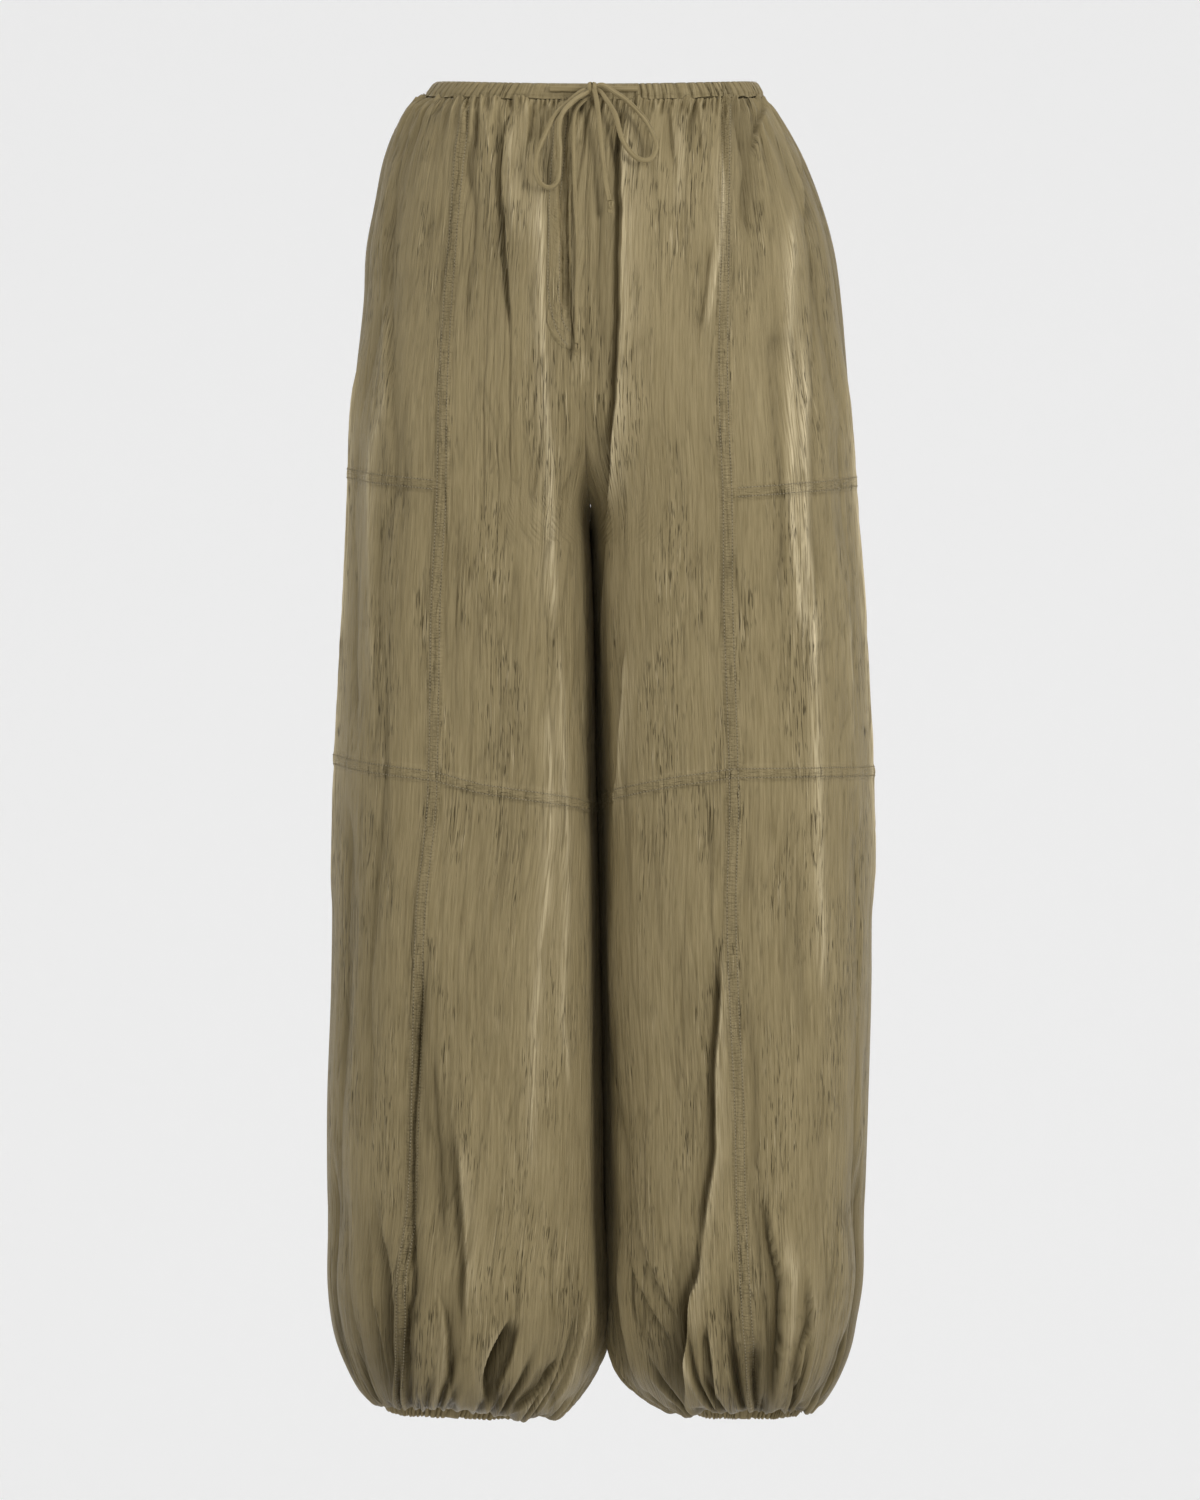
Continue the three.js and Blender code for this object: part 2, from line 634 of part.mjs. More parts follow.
for (const [name, places] of Object.entries(BAND_STRETCHES)) {
  add(name, cutByKnot(tieGeometry(bandStretch(places), TIE_WIDTH)), TIE_COLOR);
}
for (const [name, points] of Object.entries(TIE_PATHS)) {
  const width = name === "tail_long" ? TAIL_WIDTH : TIE_WIDTH;
  add(name, cutByKnot(tieGeometry(points.map(lowered), width)), TIE_COLOR);
}
add("bow_knot", knotGeometry(lowered(KNOT.at), KNOT.radii, 12, 8), TIE_COLOR);
for (const [name, knot] of Object.entries(TAIL_KNOTS)) {
  add(name, knotGeometry(lowered(knot.at), knot.radii, 8, 6), TIE_COLOR);
}

export default group;
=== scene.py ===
"""Parachute pants of crinkled satin, filled out as worn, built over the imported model's frame.

Lengths in the tables are millimetres; every Blender object is in metres. The front faces -Y, +Z is up.
"""

import math

import bpy
import numpy as np
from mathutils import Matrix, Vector


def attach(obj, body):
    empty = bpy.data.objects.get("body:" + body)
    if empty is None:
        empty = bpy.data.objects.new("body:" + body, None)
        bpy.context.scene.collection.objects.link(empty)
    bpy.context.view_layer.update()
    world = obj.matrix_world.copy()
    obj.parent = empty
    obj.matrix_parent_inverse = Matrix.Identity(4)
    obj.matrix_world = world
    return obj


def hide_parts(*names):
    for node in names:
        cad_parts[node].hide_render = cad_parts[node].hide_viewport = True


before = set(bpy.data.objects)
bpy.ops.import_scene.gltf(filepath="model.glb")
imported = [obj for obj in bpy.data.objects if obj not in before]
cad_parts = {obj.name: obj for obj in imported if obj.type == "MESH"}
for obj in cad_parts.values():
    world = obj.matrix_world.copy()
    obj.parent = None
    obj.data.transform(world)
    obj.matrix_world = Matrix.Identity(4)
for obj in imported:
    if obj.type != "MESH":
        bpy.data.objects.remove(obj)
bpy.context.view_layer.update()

MM = 0.001
SEED = 20

# The photograph: millimetres for each of its pixels, and the pixel that the frame's origin falls on.
PIXEL = 0.77
ORIGIN_PIXEL = (598, 90)
PICTURE_MIDDLE = (600, 750)
PICTURE_HEIGHT = 1500
CAMERA_AWAY = 16.0
SENSOR = 36.0

# Form of the legs, the same as in the CAD part.
FORK_DROP = 350
CLOSING_DROP = 120
HIP_DROP = 306
KNEE_DROP = 528
TOP_DROP = 6.4
HEM_DROP = 1034
MIDDLE_LINE = [
    [0, 0], [30, -4], [85, -8], [280, -8], [393, -3], [550, 0], [780, 5.5], [930, 8.2], [1040, 8.2],
]
FRONT_DIP = 4.0

# The two legs touch from the fork to near the cuffs: space between them, wave and lean of their shared face.
TOUCH_GAP = 0.12
TOUCH_WAVE = 3.0
TOUCH_LEAN = 1.6
CUFF_X = {"left": -110, "right": 115}
HEM_TILT = {"left": -0.04, "right": 0}

# drop, height, outer edge, inner edge from the middle plane, front seam, front depth, back depth, squareness
SECTIONS = {
    "left": [
        [6, -6, -134, 0, -100, 94.5, 94.5, 2],
        [15, -15, -148, 0, -103, 101, 101, 2],
        [31, -31, -157, 0, -104, 107, 107, 2],
        [54, -54, -164.5, 0, -106, 112, 113, 2],
        [85, -85, -170.5, 0, -108, 116, 121, 2.1],
        [123, -123, -177.5, 0, -111, 119, 129, 2.2],
        [162, -162, -179.5, 0, -114, 121, 135, 2.3],
        [239, -239, -187.5, 0, -118, 122, 139, 2.9],
        [316, -316, -191.5, 0, -120, 121, 137, 3.3],
        [393, -393, -195, 0, -124, 120, 132, 3.6],
        [547, -547, -202.5, 0, -127, 120, 128, 3.5],
        [624, -624, -204.5, 0, -135, 120, 127, 3.5],
        [701, -701, -206, 0, -138.6, 120, 126, 3.4],
        [778, -778, -208.5, 0, -141, 120, 126, 3.2],
        [855, -855, -208.5, 0, -144, 120, 125, 3],
        [912, -912, -207, 0, -150, 119, 123, 2.8],
        [947, -947, -203.5, 1, -151, 116, 120, 2.6],
        [970, -970, -198, 6, -152, 110, 114, 2.4],
        [988, -988, -190.5, 15, -152, 102, 106, 2.3],
        [1001, -1001, -182.5, 24, -152, 92, 95, 2.2],
        [1011, -1009.5, -174.5, 31, -151, 80, 82, 2.2],
        [1019, -1013.8, -172, 38, -150, 64, 66, 2.1],
        [1027, -1014, -170.3, 49, -148, 43, 44, 2],
        [1034, -1012.2, -165.5, 62, -146, 29, 29, 2],
    ],
    "right": [
        [6, -6, 127.5, 0, 99, 94.5, 94.5, 2],
        [15, -15, 136, 0, 99, 101, 101, 2],
        [31, -31, 146, 0, 98, 107, 107, 2],
        [54, -54, 158, 0, 97, 112, 113, 2],
        [85, -85, 170, 0, 96, 116, 121, 2.1],
        [123, -123, 180.5, 0, 96, 119, 129, 2.2],
        [162, -162, 186, 0, 95.5, 121, 135, 2.3],
        [239, -239, 192.5, 0, 95.5, 122, 139, 2.9],
        [316, -316, 198, 0, 99, 121, 137, 3.3],
        [393, -393, 204, 0, 99.5, 120, 132, 3.6],
        [547, -547, 211, 0, 104, 120, 128, 3.5],
        [624, -624, 211, 0, 102, 120, 127, 3.5],
        [701, -701, 210.3, 0, 104, 120, 126, 3.4],
        [778, -778, 208, 0, 107.8, 120, 126, 3.2],
        [855, -855, 205.6, 0, 109.3, 120, 125, 3],
        [912, -912, 203, 0, 112, 119, 123, 2.8],
        [947, -947, 197.5, 1, 114, 116, 120, 2.6],
        [970, -970, 193, 5, 116, 110, 114, 2.4],
        [988, -988, 185.5, 12, 117, 102, 106, 2.3],
        [1001, -1001, 177.5, 24, 118, 92, 95, 2.2],
        [1011, -1009.5, 170.5, 36, 119, 80, 82, 2.2],
        [1019, -1014.2, 166.5, 45, 120, 70, 72, 2.1],
        [1027, -1014.3, 164.5, 55, 121, 55, 56, 2],
        [1034, -1012.2, 159, 62.8, 122, 45, 45, 2],
    ],
}
HIP_SAG = {"left": [[0, 0], [1, 0], [1.5, -13]], "right": [[0, 0], [1, 6], [1.5, -6]]}
KNEE_SAG = {
    "left": [[0, 25], [0.35, 23], [0.8, 10], [1, 0], [1.5, -16]],
    "right": [[0, 30], [0.25, 22], [0.75, 4], [1, -2], [1.5, -4]],
}

# Grid steps in millimetres: first drop, last drop, step; and the width, step, fine step of each panel.
ROW_STEPS = [
    (TOP_DROP, 45, 1.3), (45, 298, 4.6), (298, 314, 0.9), (314, 520, 4.6), (520, 536, 0.9), (536, 930, 4.6),
    (930, HEM_DROP, 1.4),
]
COLUMN_STEPS = [(245, 1.1, 0.55), (290, 1.7, 0.55), (200, 2.2, 0.7)]
FINE_EDGE = 7

# Folds of the front. Each row: height just left of the crease line and how far it reaches, the same on the
# right, in millimetres, and the points of the line in the picture's pixels from top to bottom. A valley is
# less than 0.
FRONT_FOLDS = [
    (-3, 5, -1, 5, [(415, 104), (408, 130), (400, 165)]),
    (-2.5, 5, -2, 4, [(441, 102), (438, 130), (434, 170)]),
    (-4, 4, -3, 4, [(477, 100), (473, 130), (470, 170), (476, 200), (475, 240), (469, 290), (467, 350)]),
    (2.5, 4, 2.5, 4, [(484, 104), (488, 135), (493, 175), (494, 240)]),
    (-8, 8, -1, 10, [(513, 101), (505, 132), (502, 160), (503, 200), (506, 240), (509, 290), (514, 338)]),
    (3, 6, 2, 12, [(518, 112), (512, 150), (514, 200), (518, 260)]),
    (1.5, 5, -4, 5, [(531, 102), (530, 122), (529, 146)]),
    (-3, 4, 0.5, 5, [(548, 102), (545, 122), (541, 150)]),
    (3.4, 7, 3, 4, [(542, 175), (543, 240), (544, 300), (546, 372), (550, 440), (553, 551), (556, 640)]),
    (2.4, 4, 2.4, 4, [(561, 640), (562, 700), (566, 800), (567, 900), (563, 1000), (572, 1100)]),
    (2.6, 5, 2.6, 5, [(548, 700), (550, 800), (546, 900), (536, 1000), (533, 1100), (534, 1180)]),
    (2, 5, -3, 3, [(561, 108), (557, 130), (558, 170), (562, 240), (562, 290), (560, 340)]),
    (-7, 6, 1.5, 4, [(572, 108), (571, 160), (573, 240), (573, 290), (576, 346)]),
    (-2, 6, -3.5, 8, [(600, 160), (600, 240), (598, 300), (604, 350), (602, 400)]),
    (-7, 5, 3, 12, [
        (623, 101), (622, 130), (621, 170), (621, 240), (620, 330), (616, 400), (612, 460), (607, 530),
    ]),
    (-5, 4, 2, 9, [(607, 540), (604, 600), (600, 680), (597, 740), (596, 830)]),
    (-3, 5, 2, 8, [(626, 640), (620, 740), (612, 830)]),
    (-3, 5, -1.5, 4, [(646, 101), (647, 135), (646, 170)]),
    (-3.5, 4, 1, 6, [(669, 101), (671, 135), (673, 165)]),
    (2, 4, 2, 4, [(680, 120), (679, 165), (676, 230)]),
    (-2.5, 4, 1, 5, [(699, 101), (700, 130), (701, 160)]),
    (3.6, 5, 2.5, 5, [(723, 130), (721, 200), (717, 250), (711, 300), (704, 345)]),
    (-4, 5, 0, 6, [(711, 240), (704, 300), (697, 350)]),
    (-3, 4, -7, 6, [(732, 101), (737, 130), (743, 165), (742, 200), (745, 245)]),
    (-5, 5, 1, 8, [(768, 101), (758, 130), (752, 160)]),
    (2, 6, -4, 7, [(790, 104), (797, 140), (803, 190), (804, 240)]),
    (4, 5, 3, 8, [(790, 200), (788, 260), (786, 340), (788, 440), (790, 520), (798, 600), (806, 660)]),
    (-4, 5, -2, 4, [(779, 290), (775, 370), (780, 460), (782, 540), (790, 620)]),
    (3.4, 4, 3, 5, [
        (800, 340), (801, 420), (804, 520), (810, 620), (812, 700), (816, 800), (818, 900), (822, 1000),
    ]),
    (-3, 3, -2, 4, [(811, 240), (813, 330), (812, 420), (814, 520), (816, 620)]),
    (-3, 4, -2, 4, [(842, 380), (839, 460), (847, 540), (852, 620), (855, 720), (857, 840), (862, 920)]),
    (3, 4, 3, 4, [(846, 560), (850, 680), (856, 800), (860, 940), (858, 1060), (862, 1180)]),
    (-3, 4, -2, 4, [(458, 500), (460, 530), (458, 600), (457, 680), (458, 745)]),
    (-2.5, 3, -1, 4, [(445, 455), (449, 560), (447, 640), (446, 700)]),
    (2.5, 5, 2.5, 5, [(404, 150), (389, 200), (384, 290), (388, 400), (374, 460), (372, 600), (374, 700)]),
    (-3.5, 4, -2, 5, [(396, 180), (393, 280), (397, 400), (397, 480), (384, 540), (380, 620), (388, 700)]),
    (-4, 4, -2, 4, [(362, 430), (355, 520), (357, 600), (356, 700), (360, 745)]),
    (-3, 4, -2, 4, [(347, 790), (350, 850), (353, 920), (347, 1000), (343, 1100)]),
    (-4, 5, -2, 4, [(386, 800), (380, 880), (371, 980), (373, 1080), (370, 1150)]),
    (-2, 4, -2, 4, [(483, 790), (480, 880), (485, 980), (482, 1080)]),
    (-2, 4, -2, 4, [(509, 790), (504, 860), (500, 930)]),
    (-9, 5, -6, 5, [
        (424, 960), (421, 1020), (417, 1080), (414, 1150), (414, 1226), (416, 1285), (411, 1310), (410, 1405),
    ]),
    (-5, 6, -3, 6, [(433, 1040), (440, 1120), (444, 1200), (446, 1260)]),
    (-5, 13, 2.5, 9, [(455, 1120), (462, 1200), (466, 1260), (466, 1330)]),
    (-8, 11, -2, 4, [(376, 1200), (385, 1245), (393, 1283), (395, 1310), (394, 1380), (394, 1408)]),
    (-2, 5, 2, 5, [(368, 1210), (374, 1280), (383, 1340), (390, 1390)]),
    (-3, 5, -2, 4, [(345, 1180), (351, 1280), (362, 1340), (381, 1398)]),
    (2, 7, -4, 7, [(441, 1290), (447, 1320), (449, 1356), (453, 1396)]),
    (3, 7, -14, 9, [(508, 1316), (498, 1334), (490, 1350), (485, 1368), (486, 1400)]),
    (-4, 6, 3, 9, [(520, 1320), (512, 1350), (500, 1380), (494, 1404)]),
    (-7, 7, 2, 9, [(556, 1356), (540, 1380), (522, 1398), (512, 1408)]),
    (-3, 6, 2.5, 6, [(588, 1290), (580, 1330), (568, 1365), (548, 1400)]),
    (-3, 4, -2, 4, [(680, 930), (681, 1010), (684, 1080)]),
    (-8, 7, 3, 7, [(720, 950), (718, 1010), (714, 1080), (714, 1150), (704, 1215), (699, 1255)]),
    (-10, 13, 3, 8, [(700, 1240), (697, 1272), (689, 1294), (686, 1330), (684, 1370), (687, 1404)]),
    (-5, 5, -2, 6, [(742, 960), (748, 1020), (756, 1080), (756, 1150), (764, 1205)]),
    (-11, 9, 0, 6, [(766, 1190), (770, 1230), (777, 1265), (780, 1300), (778, 1345), (773, 1402)]),
    (3, 7, 3, 6, [(784, 1230), (790, 1280), (787, 1330), (781, 1390)]),
    (-5, 4, -3, 4, [(728, 1268), (729, 1300), (733, 1340), (740, 1402)]),
    (-6, 5, 2, 6, [(706, 1320), (710, 1350), (716, 1402)]),
    (-5, 5, -4, 5, [(754, 1340), (754, 1370), (757, 1404)]),
    (-6, 7, 2, 6, [(804, 1270), (808, 1320), (798, 1352), (794, 1402)]),
    (-5, 6, 2, 5, [(846, 1330), (836, 1365), (812, 1404)]),
    (-3.5, 4, 1, 5, [(636, 1180), (640, 1222), (648, 1256), (664, 1290), (678, 1320)]),
    (-3, 4, 1, 5, [(628, 1210), (634, 1260), (648, 1296), (672, 1340)]),
    (-4, 5, 2, 6, [(618, 1240), (626, 1320), (636, 1370), (654, 1402)]),
    (-3, 4, -2, 4, [(617, 1000), (616, 1080), (628, 1150), (632, 1200)]),
    (2, 4, 2, 4, [(608, 900), (612, 1000), (610, 1080), (614, 1180)]),
    (-2.5, 5, -2, 5, [(707, 800), (709, 860), (712, 900)]),
    (-2, 5, -2, 5, [(651, 820), (655, 900), (660, 960)]),
]

# Half width of the step at a fold's crease line, how far that line wanders and over what drop, and how a fold
# fades at its ends: share of its length, at most so many millimetres.
STEP_HALF = 0.9
FOLD_WANDER = (0.9, 16)
FOLD_FADE = (0.35, 55)

# The back's folds: share of the front's height, narrowing, and how far each is moved across and down.
BACK_SHARE = 0.8
BACK_NARROWING = 0.97
BACK_MOVES = (9, 14)

# Folds of the two sides: height, half width, and points (depth towards the back, drop) in millimetres.
SIDE_FOLDS = [
    (-4, 8, [(-48, 20), (-54, 150), (-50, 260)]),
    (-5, 9, [(-8, 16), (-14, 120), (-6, 290)]),
    (-4, 8, [(42, 18), (50, 140), (60, 250)]),
    (4, 10, [(-30, 200), (-34, 420), (-26, 640)]),
    (-3.5, 8, [(20, 320), (26, 520), (18, 760)]),
    (4, 10, [(60, 340), (58, 620), (48, 880)]),
    (-4, 8, [(-66, 560), (-60, 760), (-48, 900)]),
    (-7, 9, [(-40, 820), (-34, 940), (-22, 1008)]),
    (-6, 8, [(4, 860), (6, 960), (4, 1008)]),
    (-7, 9, [(52, 800), (44, 940), (26, 1008)]),
]

# Gathers that fan out from the waist, long ones and short ticks, and from the cuffs: drop of the edge and how
# far from it they reach their depth, spacing at the edge, shortest and longest reach, least and most depth,
# half width at the edge and at the far end, height of the cloth that swells beside each.
GATHERS = [
    {
        "edge": TOP_DROP, "hold": 3, "seed": 11, "pitch": 9, "reach": (12, 110), "depth": (1.6, 4.2),
        "half": (1.6, 6.0), "swell": 1.2,
    },
    {
        "edge": TOP_DROP, "hold": 1, "seed": 13, "pitch": 3.8, "reach": (5, 20), "depth": (1.2, 2.8),
        "half": (0.9, 1.5), "swell": 0.6,
    },
    {
        "edge": HEM_DROP - 6, "hold": 14, "seed": 12, "pitch": 6.0, "reach": (16, 120), "depth": (3.5, 10),
        "half": (1.5, 5.0), "swell": 1.9,
    },
]

# Crinkle of the cloth: distance between creases, their length, depth, seed; and the rounded share of each.
CRINKLES = [(21, 260, 0.9, 1), (12, 170, 0.8, 2), (6.5, 90, 0.7, 3), (3.6, 45, 0.5, 4)]
CRINKLE_SHARPNESS = 18
CRINKLE_WAVINESS = 0.2

# Width of a side panel along which its grain is spread evenly.
SIDE_WIDTH = 330

# The hollow between the two legs: drops where it starts and ends, depth, middle and half widths.
GROOVE = {"drops": (250, 520, 930, 1000), "depth": 12, "x": 1.5, "left_half": 5.5, "right_half": 8}

# Fullness that the folds would take from the outline, at the hips and the hems: height, and the drops at
# which it starts, is whole, starts to fade and ends.
FULLNESS = [(2.0, 10, 60, 230, 330), (3.2, 850, 930, 1008, 1024)]

# Cloth that bulges over the waist's seam.
WAIST_LUMPS = {"rise": 2.2, "out": 1.8, "until": 15}

# Where folds show: how far a face has to turn to the front or the back, and to the side; distance from the
# middle at which the side's folds start; drops at which all of them end; how near the middle seam they fade.
FRONT_TURN = (0.08, 0.4)
SIDE_TURN = (0.55, 0.9)
SIDE_START = (60, 100)
FOLDS_END = (1012, 1026)
MIDDLE_FADE = 0.06

# Where the crinkle shows: drops at which it starts, is whole, starts to fade and ends; its share beside the
# middle seam.
CRINKLE_DROPS = (TOP_DROP, TOP_DROP + 14, 1008, 1026)
CRINKLE_AT_MIDDLE = 0.35

# Painted shade, darkening the cloth's colour: depth of a fold at which its valley's painted shade is darkest
# and the most it darkens, each on the leg and at the hem; then the painted shade along the crinkle's lines,
# under the hem and in the hollow between the legs, and the drops over which the hem's share comes in.
CREASE_SHADE_DEPTH = (13, 7)
CREASE_SHADE_MOST = (0.5, 0.8)
CRINKLE_SHADE = 0.5
UNDERSIDE_SHADE = 0.4
GROOVE_SHADE = 0.45
HEM_SHADE_DROPS = (880, 960)

# Painted highlight on the folds' ridges: height of a fold that gets all of it, and how sharply it comes in.
PAINTED_SHINE_HEIGHT = 4
PAINTED_SHINE_POWER = 1.5

# Lumps of cloth that hang over the cuffs: x, half width, how far they hang; their row and its half height,
# and the small fringe between them.
HEM_LUMPS = {
    "left": [
        (-153, 6, 2), (-136, 5, 2.5), (-112, 7, 1.5), (-96, 5, 2.2), (-78, 6, 2.5), (-57, 12, 6.5),
        (-33, 9, 5),
    ],
    "right": [(56, 8, 3), (69, 7, 6), (90, 5, 2), (108, 7, 1.5), (127, 5, 2.5), (144, 6, 2), (160, 8, 4)],
}
LUMP_ROW = (1020, 8)
FRINGE = {"hang": 2.2, "pitch": 6, "row": 1024, "half": 6}

# Felled seams: half width of the ridge and its height, depth of the sewn lines, height of the puckers, how
# dark the painted shade along a sewn line is and how wide the puckered cloth.
SEAM = {"half": (3.9, 5.2), "ridge": 0.5, "line": 0.35, "pucker": 0.4, "shade": 0.06, "reach": 5.5}

# Waistband and cuffs.
BAND = {
    "top": 6.2, "bottom": -5.8, "thick": 3.6, "rib_depth": 2.1, "pitch": 7.0,
    "left": (-135, -126), "right": (129, 123), "depth": (96, 92), "plain": (-37, 30),
}
CUFF = {"top": -1013.5, "height": 8.5, "thick": 3, "rib_depth": 2.0, "pitch": 3.7}
CUFFS = {"left": (-110, 56, 29), "right": (115, 44, 45)}

# Tie: the points of the CAD part's tubes.
KNOT_AT = (-4.5, -98.9, 0.6)
KNOT_RADII = (5.6, 4.4, 4.8)
LOOP_LEFT = [
    KNOT_AT, (-11, -100.5, -0.5), (-17, -102.5, -4.6), (-24, -105.5, -11), (-32.3, -110.5, -19.3),
    (-40.5, -115, -35), (-46.5, -118, -50), (-47.6, -120, -61.5), (-44.6, -121, -71.6), (-38, -121.5, -75.6),
    (-32, -121.5, -73), (-29.8, -121, -65), (-29.2, -120, -48), (-29.8, -117, -30), (-27.7, -114, -19.3),
    (-21.6, -110, -11.6), (-14, -106.5, -5.4), (-8.5, -103.6, -2), KNOT_AT,
]
LOOP_RIGHT = [
    KNOT_AT, (1, -101.5, -1), (5.4, -106, -6.5), (13, -111.5, -19), (18.4, -116, -38), (24.6, -119, -48),
    (32, -120.5, -54), (40, -120, -54), (44.7, -118, -45), (43.6, -116.5, -38), (38.5, -113, -27),
    (30.8, -110, -17), (20.8, -106.8, -7.6), (10.5, -103, -0.6), (3, -101.5, 4), KNOT_AT,
]
TAIL_SHORT = [
    KNOT_AT, (-3, -104.4, 0), (-1.2, -107.5, -8), (1.5, -114.5, -31), (3.8, -118.5, -54), (6.2, -121.5, -73),
    (8.6, -123.4, -85.6),
]
TAIL_LONG = [
    KNOT_AT, (-6.5, -101, -5), (-11.5, -103, -9), (-17.3, -106.5, -16), (-18.6, -113.5, -31),
    (-18.4, -119.5, -58), (-17, -122.4, -92), (-15.4, -124.8, -124), (-16.4, -126.8, -162),
    (-16.2, -127.6, -194.6),
]
TAIL_KNOTS = {
    "tail_knot_short": ((9.6, -123.9, -89.3), (3.0, 2.4, 3.4)),
    "tail_knot_long": ((-16, -127.8, -198.4), (2.4, 2.2, 3.5)),
}

# Turns of the tape over a knot: how far each is shifted and tilted.
KNOT_WRAPS = [(-1.6, 0.8), (1.4, -0.7)]
TAIL_WRAPS = [(0.0, 0.9), (0.5, -1.0)]

# Half width and half thickness of the tape in the bow, on the band and in the long tail.
TIE_HALF = (2.0, 1.3)
BAND_TIE_HALF = (2.2, 1.2)
TAIL_HALF = (1.55, 1.1)

# How far the tie hangs below its drawn route, the cut end under a tail's knot, the step along a cord, the
# passes that ease its bends, and the points round a tape, a turn of tape and a knot.
TIE_LOWER = 3.0
TAIL_END = 2.0
CORD_STEP = 1.0
BEND_EASING = 8
TAPE_AROUND = 14
WRAP_AROUND = 10
BALL_ROWS = 14
BALL_AROUND = 20

# Fly: places across the front panel, drops of its ends.
FLY = {"inner": 0.095, "outer": 0.275, "top": 9, "end_outer": 174, "end_inner": 202}

# Sewn rows: distance from the seam, pitch, length and half width of a stitch, half size of a needle hole.
STITCH = {"away": 3.4, "pitch": 2.6, "length": 1.7, "thick": 0.5, "hole": 0.36}
THREAD_LIFT = 0.25

# Colours in linear light.
# The colour that painted shade darkens the cloth towards.
PAINTED_SHADE_COLOR = (0.045, 0.033, 0.013, 1)
CLOTH_MID = (0.169, 0.131, 0.062, 1)
CLOTH_LIGHT = (0.280, 0.224, 0.119, 1)
# The colour of the painted highlights (the glints, the bright specks and the shine of fold ridges), and how
# strongly they show.
PAINTED_HIGHLIGHT_COLOR = (0.62, 0.52, 0.33, 1)
PAINTED_HIGHLIGHT_SHARE = 1.0
THREAD_COLORS = ((0.15, 0.118, 0.06, 1), (0.31, 0.255, 0.145, 1))
# The colour of the dark patches painted as shade at the needle holes.
HOLE_SHADE_COLOR = (0.055, 0.042, 0.02, 1)
SHEEN_COLOR = (1.0, 0.88, 0.62, 1)
FLOOR_COLOR = (0.9, 0.9, 0.9, 1)

# Noise in the cloth: cells to the metre across and along it, and how fine its detail is.
NOISES = {
    "wide": (80, 6, 3.0), "thin": (620, 26, 3.0), "patch": (30, 7, 2.0), "hair": (300, 7, 1.0),
    "dash": (900, 60, 1.0), "tick": (110, 560, 1.0), "glint": (850, 22, 2.0), "highlight_speck": (780, 30, 1.0),
    "ridge": (480, 11, 2.0), "weave": (5200, 900, 1.0), "pucker": (130, 480, 2.0),
}

# What a noise is turned into: two of its values, and what they become.
RANGES = {
    "patch": (0.47, 0.60, 0.08, 1.0), "hair": (0.016, 0.0, 0.0, 0.6), "dash": (0.39, 0.30, 0.0, 0.9),
    "tick": (0.42, 0.32, 0.0, 0.15), "glint": (0.40, 0.54, 0.12, 1.0), "highlight_speck": (0.62, 0.74, 0.0, 0.38),
    "tone": (0.30, 0.70, 0.0, 1.0), "roughness": (0.3, 0.7, 0.34, 0.6),
}

# Share of the wide noise in the cloth's tone, and the most that painted shade in creases darkens it.
WIDE_SHARE = 0.22
DARKEST_PAINTED_SHADE = 0.88

# Depth of each bump in metres.
BUMPS = {"weave": 0.0002, "ridge": 0.0018, "hair": 0.0005, "pucker": 0.003}
WEAVE_STRENGTH = 0.5

# Sheen and gloss of the satin and the thread.
SHEEN = {"Sheen Weight": 0.05, "Sheen Roughness": 0.4, "Specular IOR Level": 0.3}
THREAD_ROUGHNESS = 0.5
THREAD_NOISE = 900

# The studio, in metres: floor and wall as depth and height, lamps as place, size and power.
FLOOR_PROFILE = [(-9, -2.1), (2.6, -2.1), (3.6, -1.95), (4.1, -1.6), (4.2, -1.2), (4.2, 6.0)]
FLOOR_HALF_WIDTH = 9
FLOOR_ROUNDING = 3
FLOOR_ROUGHNESS = 0.9
FLOOR_GLOW = 0.09
BACKDROP_SHADE = 0.86
WORLD_LIGHT = 0.5
LAMPS = {
    "key": ((2.3, -2.2, 0.7), (0.8, 1.4), 61),
    "fill": ((-2.9, -1.9, 0.9), (0.8, 1.6), 39),
    "top": ((0.2, -0.8, 2.4), (1.4, 1.0), 22),
    "back": ((0.0, 3.4, 0.6), (1.6, 1.2), 26),
}
LAMP_TARGET = (0, 0, -0.5)
CAMERA_SEES_TO = 60


def smooth_step(low, high, value):
    t = np.clip((value - low) / (high - low), 0, 1)
    return t * t * (3 - 2 * t)


def smoother_step(low, high, value):
    """A step whose bend fades in and out too, so that no edge shows where it starts or ends."""
    t = np.clip((value - low) / (high - low), 0, 1)
    return t**3 * (6 * t**2 - 15 * t + 10)


def fade(value, start, whole, fall, end):
    """Rises from 0 to 1 between the first two values, and falls back to 0 between the last two."""
    return smooth_step(start, whole, value) * (1 - smooth_step(fall, end, value))


def picture_x(pixel):
    return (pixel - ORIGIN_PIXEL[0]) * PIXEL


def picture_z(pixel):
    return (ORIGIN_PIXEL[1] - pixel) * PIXEL


def read_line(table, at):
    rows = np.array(table, float)
    return np.interp(at, rows[:, 0], rows[:, 1])


def read_smooth(table, at):
    """Every column of a table read at many drops, by smooth cubic pieces through its rows."""
    rows = np.array(table, float)
    x = rows[:, 0]
    at = np.clip(at, x[0], x[-1])
    k = np.clip(np.searchsorted(x, at) - 1, 0, len(x) - 2)
    before = np.maximum(k - 1, 0)
    after = np.minimum(k + 2, len(x) - 1)
    width = x[k + 1] - x[k]
    t = (at - x[k]) / width
    read = []
    for y in rows.T:
        slope_a = (y[k + 1] - y[before]) / (x[k + 1] - x[before])
        slope_b = (y[after] - y[k]) / (x[after] - x[k])
        read.append(
            (2 * t**3 - 3 * t**2 + 1) * y[k]
            + (t**3 - 2 * t**2 + t) * width * slope_a
            + (3 * t**2 - 2 * t**3) * y[k + 1]
            + (t**3 - t**2) * width * slope_b
        )
    return read


def super_height(across, power):
    inside = np.minimum(1, np.abs(across))
    return np.maximum(0, 1 - inside**power) ** (1 / power)


